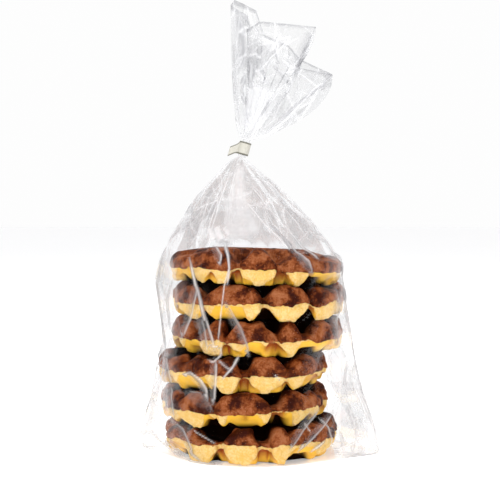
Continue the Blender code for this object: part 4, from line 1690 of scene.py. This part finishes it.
    def pushed_out(self, points: np.ndarray, contents: np.ndarray) -> np.ndarray:
        """The film's points above its flat base, pushed out to where they clear the waffles.

        Args:
            points: the film's points.
            contents: the points of the waffles inside.

        Returns:
            The points in their new places.
        """
        table = self.clearance(contents)
        level = np.clip(points[:, 2] / self.clear_step - 0.5, 0.0, self.clear_rows - 2.0)
        place = np.arctan2(points[:, 1], points[:, 0]) / (2 * math.pi) * self.clear_columns - 0.5
        row, column = np.floor(level).astype(int), np.floor(place).astype(int)
        up, along = level - row, place - column
        before, after = column % self.clear_columns, (column + 1) % self.clear_columns
        low = table[row, before] * (1 - along) + table[row, after] * along
        high = table[row + 1, before] * (1 - along) + table[row + 1, after] * along
        standing = np.arange(len(points)) >= self.base_rows * self.columns
        needed = (low * (1 - up) + high * up) * standing
        factor = np.maximum(needed / np.hypot(points[:, 0], points[:, 1]), 1.0)
        return points * np.stack([factor, factor, np.ones(len(points))], axis=1)

    def build(self, finish: FilmFinish, shift: Vector, contents: np.ndarray) -> None:
        """Builds the film, in a front and a back half, in place of the frame's solid bag.

        Args:
            finish: the film's finish.
            shift: how far the levels are moved to stand over the frame's bag.
            contents: the points of the waffles inside.
        """
        rows = self.rings()
        whole = grid_mesh("film", rows)
        points, normals = points_of(whole), normals_of(whole)
        bpy.data.meshes.remove(whole)
        ring_count, count = rows.shape[:2]
        sheen = self.sheen(rows)
        girth = np.linalg.norm(rows - rows.mean(axis=1, keepdims=True), axis=2).mean(axis=1)
        room = np.repeat(np.clip(girth / self.whole_size, 0.0, 1.0), count)
        hold = smoothstep(0.0, self.whole_from, points[:, 2])
        off = (sheen.relief - self.slack) * hold * room
        moved = points + normals * off[:, None] + np.array(shift)
        moved[:, 2] = np.maximum(moved[:, 2], self.floor_gap)
        moved = self.pushed_out(moved, contents)
        material = finish.material()
        columns = np.arange(count + 1) % count
        split = self.back_columns
        for name, kept in (("film_back", columns[:split + 1]), ("film_front", columns[split:])):
            index = np.arange(ring_count * count).reshape(ring_count, count)[:, kept]
            own = np.arange(index.size).reshape(index.shape)
            quads = np.stack([own[:-1, :-1], own[:-1, 1:], own[1:, 1:], own[1:, :-1]], axis=-1)
            mesh = bpy.data.meshes.new(name)
            mesh.from_pydata(moved[index.ravel()].tolist(), [], quads.reshape(-1, 4).tolist())
            keep_number(mesh, "painted_grey", np.clip(sheen.painted_grey[index.ravel()], 0.0, 1.0))
            keep_number(mesh, "line", np.clip(sheen.line[index.ravel()], 0.0, 1.0))
            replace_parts(add_piece(name, mesh, material), "bag")


@dataclass
class Tie:
    """The strip round the neck: one strip bent round it, with its two ends side by side."""

    width: float = 7.2 * MM
    thickness: float = 0.6 * MM
    bend: float = 2.9 * MM
    reach: float = 7.8 * MM
    gap: float = 1.0 * MM
    drop: float = math.tan(math.radians(38))
    taper: float = 0.25
    taper_end: float = 1.5 * MM
    edge_from: float = 0.40
    tail_start: float = 0.6 * MM
    arc_steps: int = 56
    tail_steps: int = 9
    level_count: int = 13

    def path(self) -> list[tuple[float, float]]:
        """The strip's middle line seen along the neck.

        Returns:
            Its points as (x, y).
        """
        side = self.gap / 2
        opening = math.asin(side / self.bend)
        turn = 2 * (math.pi - opening)
        arc = [opening - math.pi + turn * step / self.arc_steps for step in range(self.arc_steps + 1)]
        tail = np.linspace(self.reach, self.bend + self.tail_start, self.tail_steps)
        front = [(-x, -side) for x in tail]
        back = [(-x, side) for x in tail[::-1]]
        return front + [(self.bend * math.cos(a), self.bend * math.sin(a)) for a in arc] + back

    def build(self, finish: StripFinish, shift: Vector) -> None:
        """Builds the strip in place of the frame's plain one.

        Args:
            finish: the strip's finish.
            shift: how far the frame's parts were moved to stand over the origin.
        """
        build = bmesh.new()
        levels = np.linspace(-0.5, 0.5, self.level_count)
        rows = []
        for x, y in self.path():
            past = max(-x - self.bend, 0.0)
            height = self.width * (1.0 - self.taper * min(past / self.taper_end, 1.0))
            rows.append([build.verts.new((x, y, height * level - self.drop * past))
                         for level in levels])
        for first, second in zip(rows, rows[1:]):
            for low in range(len(levels) - 1):
                build.faces.new((first[low], second[low], second[low + 1], first[low + 1]))
        mesh = bpy.data.meshes.new("tie_strip")
        build.to_mesh(mesh)
        build.free()
        lean = math.atan2(NECK_HIGH[0] - NECK_LOW[0], NECK_HIGH[2] - NECK_LOW[2])
        middle = (Vector(NECK_LOW) + Vector(NECK_HIGH)) / 2 + shift
        edge = np.tile(np.where(np.abs(levels) > self.edge_from, 1.0, 0.0), len(rows))
        keep_number(mesh, "edge", edge)
        mesh.transform(Matrix.Translation(middle) @ Euler((0, lean, 0)).to_matrix().to_4x4())
        strip = add_piece("tie_strip", mesh, finish.material())
        solid = strip.modifiers.new("thickness", "SOLIDIFY")
        solid.thickness = self.thickness
        solid.offset = 0.0
        solid.use_even_offset = True
        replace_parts(strip, "tie")


# Room


@dataclass
class Softbox:
    """A soft square light that faces the bag."""

    name: str
    place: tuple[float, float, float]
    size: float
    power: float
    aim: tuple[float, float, float] = (0.0, 0.0, 0.10)

    def build(self) -> None:
        """Adds the light."""
        light = bpy.data.lights.new(self.name, "AREA")
        light.shape = "SQUARE"
        light.size = self.size
        light.energy = self.power
        lamp = bpy.data.objects.new(self.name, light)
        lamp.location = self.place
        towards = Vector(self.aim) - Vector(self.place)
        lamp.rotation_euler = towards.to_track_quat("-Z", "Y").to_euler()
        bpy.context.scene.collection.objects.link(lamp)


@dataclass
class Room:
    """A white studio: pale floor, bright walls, and the camera of the photograph's view."""

    distance: float = 0.72
    eye_height: float = 0.14
    eye_side: float = -0.0029
    tilt: float = math.radians(2.2)
    lens: float = 92.8
    floor_half: float = 6.0
    floor_drop: float = 0.1 * MM
    floor_grain: float = 4.0 * MM
    floor_glow: float = 0.48
    floor_light: Linear = (0.90, 0.90, 0.90)
    floor_dark: Linear = (0.88, 0.88, 0.88)
    wall: Linear = (0.985, 0.985, 0.985)
    shade: Linear = (0.42, 0.42, 0.43)
    softboxes: tuple[Softbox, ...] = (
        Softbox("key", (-0.55, -1.05, 1.05), 0.9, 14.0),
        Softbox("front", (-0.15, -1.35, 0.12), 0.7, 6.0),
        Softbox("fill", (1.05, -0.7, 0.5), 0.6, 4.0),
        Softbox("top", (0.1, 0.25, 1.25), 0.9, 8.0),
    )

    def build(self) -> None:
        """Adds the camera, the floor, the world and the lights."""
        self.add_camera()
        self.add_floor()
        self.add_world()
        for softbox in self.softboxes:
            softbox.build()
        bpy.context.scene.view_settings.view_transform = "Standard"

    def add_camera(self) -> None:
        """Adds the camera at the photograph's place."""
        data = bpy.data.cameras.new("camera")
        data.lens = self.lens
        camera = bpy.data.objects.new("camera", data)
        camera.location = (self.eye_side, -self.distance, self.eye_height)
        camera.rotation_euler = (math.pi / 2 - self.tilt, 0.0, 0.0)
        bpy.context.scene.collection.objects.link(camera)
        bpy.context.scene.camera = camera

    def add_floor(self) -> None:
        """Adds the pale floor."""
        build = bmesh.new()
        bmesh.ops.create_grid(build, x_segments=8, y_segments=8, size=self.floor_half)
        mesh = bpy.data.meshes.new("floor")
        build.to_mesh(mesh)
        build.free()
        material, tree = new_material("pale_floor")
        grain = tree.noise(self.floor_grain)
        tree.show(tree.node("ShaderNodeBsdfPrincipled", inputs={
            "Base Color": tree.mix(grain * 0.3, self.floor_light, self.floor_dark),
            "Roughness": 0.6, "Specular IOR Level": 0.2,
            "Emission Color": (1.0, 1.0, 1.0, 1.0), "Emission Strength": self.floor_glow}))
        mesh.materials.append(material)
        floor = bpy.data.objects.new("floor", mesh)
        floor.location.z = -self.floor_drop
        bpy.context.scene.collection.objects.link(floor)

    def add_world(self) -> None:
        """Adds bright walls under a darker ceiling, which the film's facets mirror."""
        world = bpy.data.worlds.new("studio")
        world.use_nodes = True
        tree = NodeTree(world.node_tree)
        direction = tree.node("ShaderNodeTexCoord", output="Generated")
        up = tree.node("ShaderNodeSeparateXYZ", inputs={"Vector": direction}, output="Z")
        back = tree.node("ShaderNodeSeparateXYZ", inputs={"Vector": direction}, output="Y")
        bright = tree.step(back, -0.35, 0.35) * (1.0 - tree.step(up, 0.35, 0.65))
        colour = tree.mix(bright, self.shade, self.wall)
        background = tree.node("ShaderNodeBackground", inputs={"Color": colour, "Strength": 1.0})
        tree.show(background, "ShaderNodeOutputWorld")
        bpy.context.scene.world = world


class StackPlace(Enum):
    """The six waffles from the top of the stack to its bottom."""

    TOP = Waffle(
        1, (0.0005, 0.000), 0.0940, 0.0472, 42.0, (0.0120, 0.0080), (-1.7, 1.8), -1.6 * MM,
        FrontEdge(
            upper=((-80, 0.2), (-64, 0.6), (-49, 0.8), (-34, 0.95), (-30, 0.75), (-26, 0.9), (-21, 0.8),
                   (-18, 0.3), (-15, 0), (-11, 0), (-8, 0.3), (-1, 1), (3, 1), (8, 0.6), (12, 0.08), (17, 0),
                   (21, 0.2), (25, 0.6), (31, 0.5), (35, 0.75), (45, 0.65), (57, 0.5), (70, 0.3), (86, 0.1)),
            lower=((-80, 0.3), (-64, 0.85), (-55, 0.75), (-50, 0.4), (-46, 0.85), (-38, 1), (-31, 0.15),
                   (-26, 1), (-21, 1), (-18, 0.6), (-16, 0.05), (-11, 0.05), (-9, 0.6), (-4, 0.8), (0, 1),
                   (4, 1), (8, 0.8), (12, 0.5), (14, 0), (20, 0), (22, 0.5), (25, 0.85), (28, 1),
                   (31, 0.95), (35, 0.65), (39, 0.4), (43, 0.85), (52, 1), (65, 0.95), (86, 0.3)),
            sloped=((-68, -46), (36, 71)),
            open=(18,)), dome=0.4)
    SECOND = Waffle(
        2, (0.0018, 0.000), 0.0760, 0.0476, 21.0, (0.0210, 0.0170), (0.0, 0.0), -0.6 * MM,
        FrontEdge(
            upper=((-78, 0.1), (-67, 0.6), (-54, 1), (-48, 1), (-45, 0.5), (-42, 0.08), (-38, 0.12),
                   (-34, 0.5), (-28, 0.9), (-24, 1), (-8, 1), (-4, 0.85), (-1, 0.55), (2, 0.05), (4, 0.05),
                   (8, 0.5), (13, 0.97), (27, 1), (30, 0.8), (34, 0.3), (36, 0.05), (39, 0.45), (42, 0.75),
                   (53, 0.72), (65, 0.5), (86, 0.1)),
            lower=((-74, 0.2), (-64, 0.5), (-53, 0.85), (-46, 1), (-42, 0.8), (-38, 0.3), (-35, 0.5),
                   (-31, 0.85), (-24, 1), (-5, 1), (-2, 0.7), (2, 0.1), (4, 0.05), (8, 0.3), (10, 0.6),
                   (14, 1), (24, 1), (27, 0.8), (32, 0.35), (35, 0.05), (38, 0.3), (41, 0.95), (53, 1),
                   (65, 0.7), (86, 0.2)),
            sloped=((-31, -8), (-41, -37), (33, 38)),
            open=(3, 35)), stretch=1.095)
    THIRD = Waffle(
        3, (0.0010, 0.000), 0.0568, 0.0472, 45.0, (0.0060, 0.0120), (0.0, 0.3), -1.0 * MM,
        FrontEdge(
            upper=((-75, 0.1), (-64, 0.7), (-55, 1), (-52, 0.8), (-49, 0.1), (-41, 0), (-38, 0.3),
                   (-35, 0.75), (-32, 1), (-27, 1), (-25, 0.5), (-24, 0), (-21, 0.05), (-18, 0.35),
                   (-15, 0.8), (-11, 1), (2, 1), (5, 0.6), (11, 0.25), (15, 0.05), (18, 0.5), (21, 0.9),
                   (26, 1), (28, 0.6), (30, 0.1), (41, 0.05), (45, 0.6), (49, 0.95), (56, 0.9), (65, 0.5),
                   (75, 0.1)),
            lower=((-75, 0.1), (-66, 0.4), (-57, 0.85), (-50, 0.95), (-41, 0.9), (-36, 0.9), (-30, 1),
                   (-26, 0.9), (-24, 0.4), (-23, 0.05), (-18, 0.35), (-11, 0.7), (-6, 1), (-3, 1),
                   (0, 0.85), (4, 0.6), (7, 0.1), (8, 0), (14, 0), (16, 0.25), (19, 0.6), (21, 0.95),
                   (25, 1), (27, 0.75), (29, 0.9), (33, 1), (38, 0.95), (47, 0.85), (56, 0.7), (65, 0.5),
                   (75, 0.15)),
            sloped=((-58, -41), (-9, 5), (28, 62)),
            open=(-23,)))
    FOURTH = Waffle(
        4, (-0.0060, 0.000), 0.0378, 0.0468, 70.0, (0.0070, 0.0140), (0.0, 0.0), 0.0,
        FrontEdge(
            upper=((-67, 0.1), (-64, 0.7), (-53, 0.9), (-48, 0.45), (-45, 0.45), (-40, 0.85), (-35, 1),
                   (-22, 1), (-19, 0.85), (-14, 1), (-10, 0.95), (-7, 0.6), (-4, 0.15), (-2, 0), (3, 0.05),
                   (6, 0.5), (9, 0.95), (21, 1), (24, 0.85), (27, 0.5), (30, 0.08), (33, 0.3), (37, 0.75),
                   (42, 0.9), (45, 0.65), (51, 0.95), (58, 0.8), (66, 0.2)),
            lower=((-67, 0.05), (-59, 0.2), (-54, 0.6), (-49, 0.95), (-42, 1), (-26, 1), (-22, 0.75),
                   (-20, 0.4), (-18, 0.6), (-16, 0.95), (-12, 1), (-8, 0.95), (-5, 0.6), (-3, 0.05),
                   (3, 0.05), (4, 0.35), (9, 0.75), (12, 1), (16, 0.95), (21, 0.7), (25, 0.5), (29, 0.1),
                   (32, 0.6), (35, 0.9), (39, 0.75), (47, 0.6), (53, 0.45), (60, 0.15)),
            sloped=((-52, -24), (43, 58)),
            open=(-1,)))
    FIFTH = Waffle(
        5, (-0.0060, -0.001), 0.0188, 0.0460, 46.0, (0.0160, 0.0160), (0.0, -0.3), -0.9 * MM,
        FrontEdge(
            upper=((-73, 0.1), (-66, 0.7), (-59, 1), (-54, 0.8), (-52, 0.3), (-48, 0.55), (-44, 0.9),
                   (-39, 1), (-34, 0.9), (-29, 0.6), (-24, 0.3), (-22, 0.05), (-18, 0.5), (-15, 0.85),
                   (-9, 1), (4, 1), (9, 0.85), (14, 0.6), (17, 0.3), (19, 0), (26, 0), (29, 0.3), (33, 0.8),
                   (37, 1), (43, 0.95), (48, 0.7), (52, 0.3), (56, 0.95), (60, 0.8), (65, 0.2)),
            lower=((-71, 0.1), (-64, 0.5), (-57, 0.8), (-50, 0.5), (-47, 0.65), (-42, 0.85), (-37, 1),
                   (-30, 1), (-26, 0.75), (-22, 0.4), (-19, 0.15), (-17, 0.65), (-14, 0.9), (-8, 0.95),
                   (-3, 0.75), (1, 0.35), (4, 0.8), (8, 1), (12, 0.85), (16, 0.55), (19, 0.15), (26, 0.1),
                   (29, 0.6), (33, 0.9), (38, 1), (43, 0.7), (48, 0.4), (51, 0.2), (56, 0.6), (60, 0.4),
                   (65, 0.1)),
            sloped=((-30, -22), (-13, 12), (19, 36))))
    BOTTOM = Waffle(
        6, (-0.0012, 0.000), 0.0002, 0.0484, 33.0, (0.0110, 0.0070), (0.0, 0.0), 1.0 * MM,
        FrontEdge(
            upper=((-86, 0.2), (-72, 0.6), (-62, 0.7), (-58, 0.2), (-52, 0.35), (-47, 0.75), (-42, 0.6),
                   (-39, 0.08), (-23, 0.02), (-20, 0.15), (-17, 0.5), (-13, 0.85), (-9, 1), (-4, 1),
                   (-1, 0.8), (0, 0.4), (3, 0.03), (11, 0.03), (13, 0.5), (15, 1), (22, 1), (24, 0.6),
                   (26, 0.3), (29, 0.65), (33, 0.85), (38, 0.75), (41, 0.5), (44, 0.8), (49, 1), (59, 0.9),
                   (67, 0.5), (78, 0.1)),
            lower=((-86, 0.2), (-69, 0.4), (-54, 0.7), (-47, 0.85), (-41, 1), (-33, 1), (-29, 0.85),
                   (-27, 0.4), (-24, 0.03), (-20, 0.03), (-18, 0.35), (-16, 0.75), (-12, 0.95), (-5, 1),
                   (-1, 0.85), (2, 0.5), (4, 0.03), (11, 0.05), (13, 0.4), (15, 0.75), (17, 1), (20, 1),
                   (22, 0.8), (24, 0.5), (27, 0.6), (31, 0.8), (38, 0.85), (44, 0.7), (52, 0.6), (60, 0.4),
                   (71, 0.1)),
            sloped=((-75, -48), (26, 45)),
            open=(-22,)))


def main() -> None:
    """Builds the room, the waffles, the film and the tie."""
    logging.basicConfig(level=logging.INFO)
    Room().build()
    crumb, chocolate = CrumbFinish().material(), ChocolateFinish().material()
    contents = np.vstack([place.value.build(crumb, chocolate) for place in StackPlace])
    film = Film()
    bag_low, bag_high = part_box("bag")
    shift = film.shift((bag_low + bag_high) / 2)
    film.build(FilmFinish(), shift, contents)
    Tie().build(StripFinish(), shift)


if __name__ == "__main__":
    main()
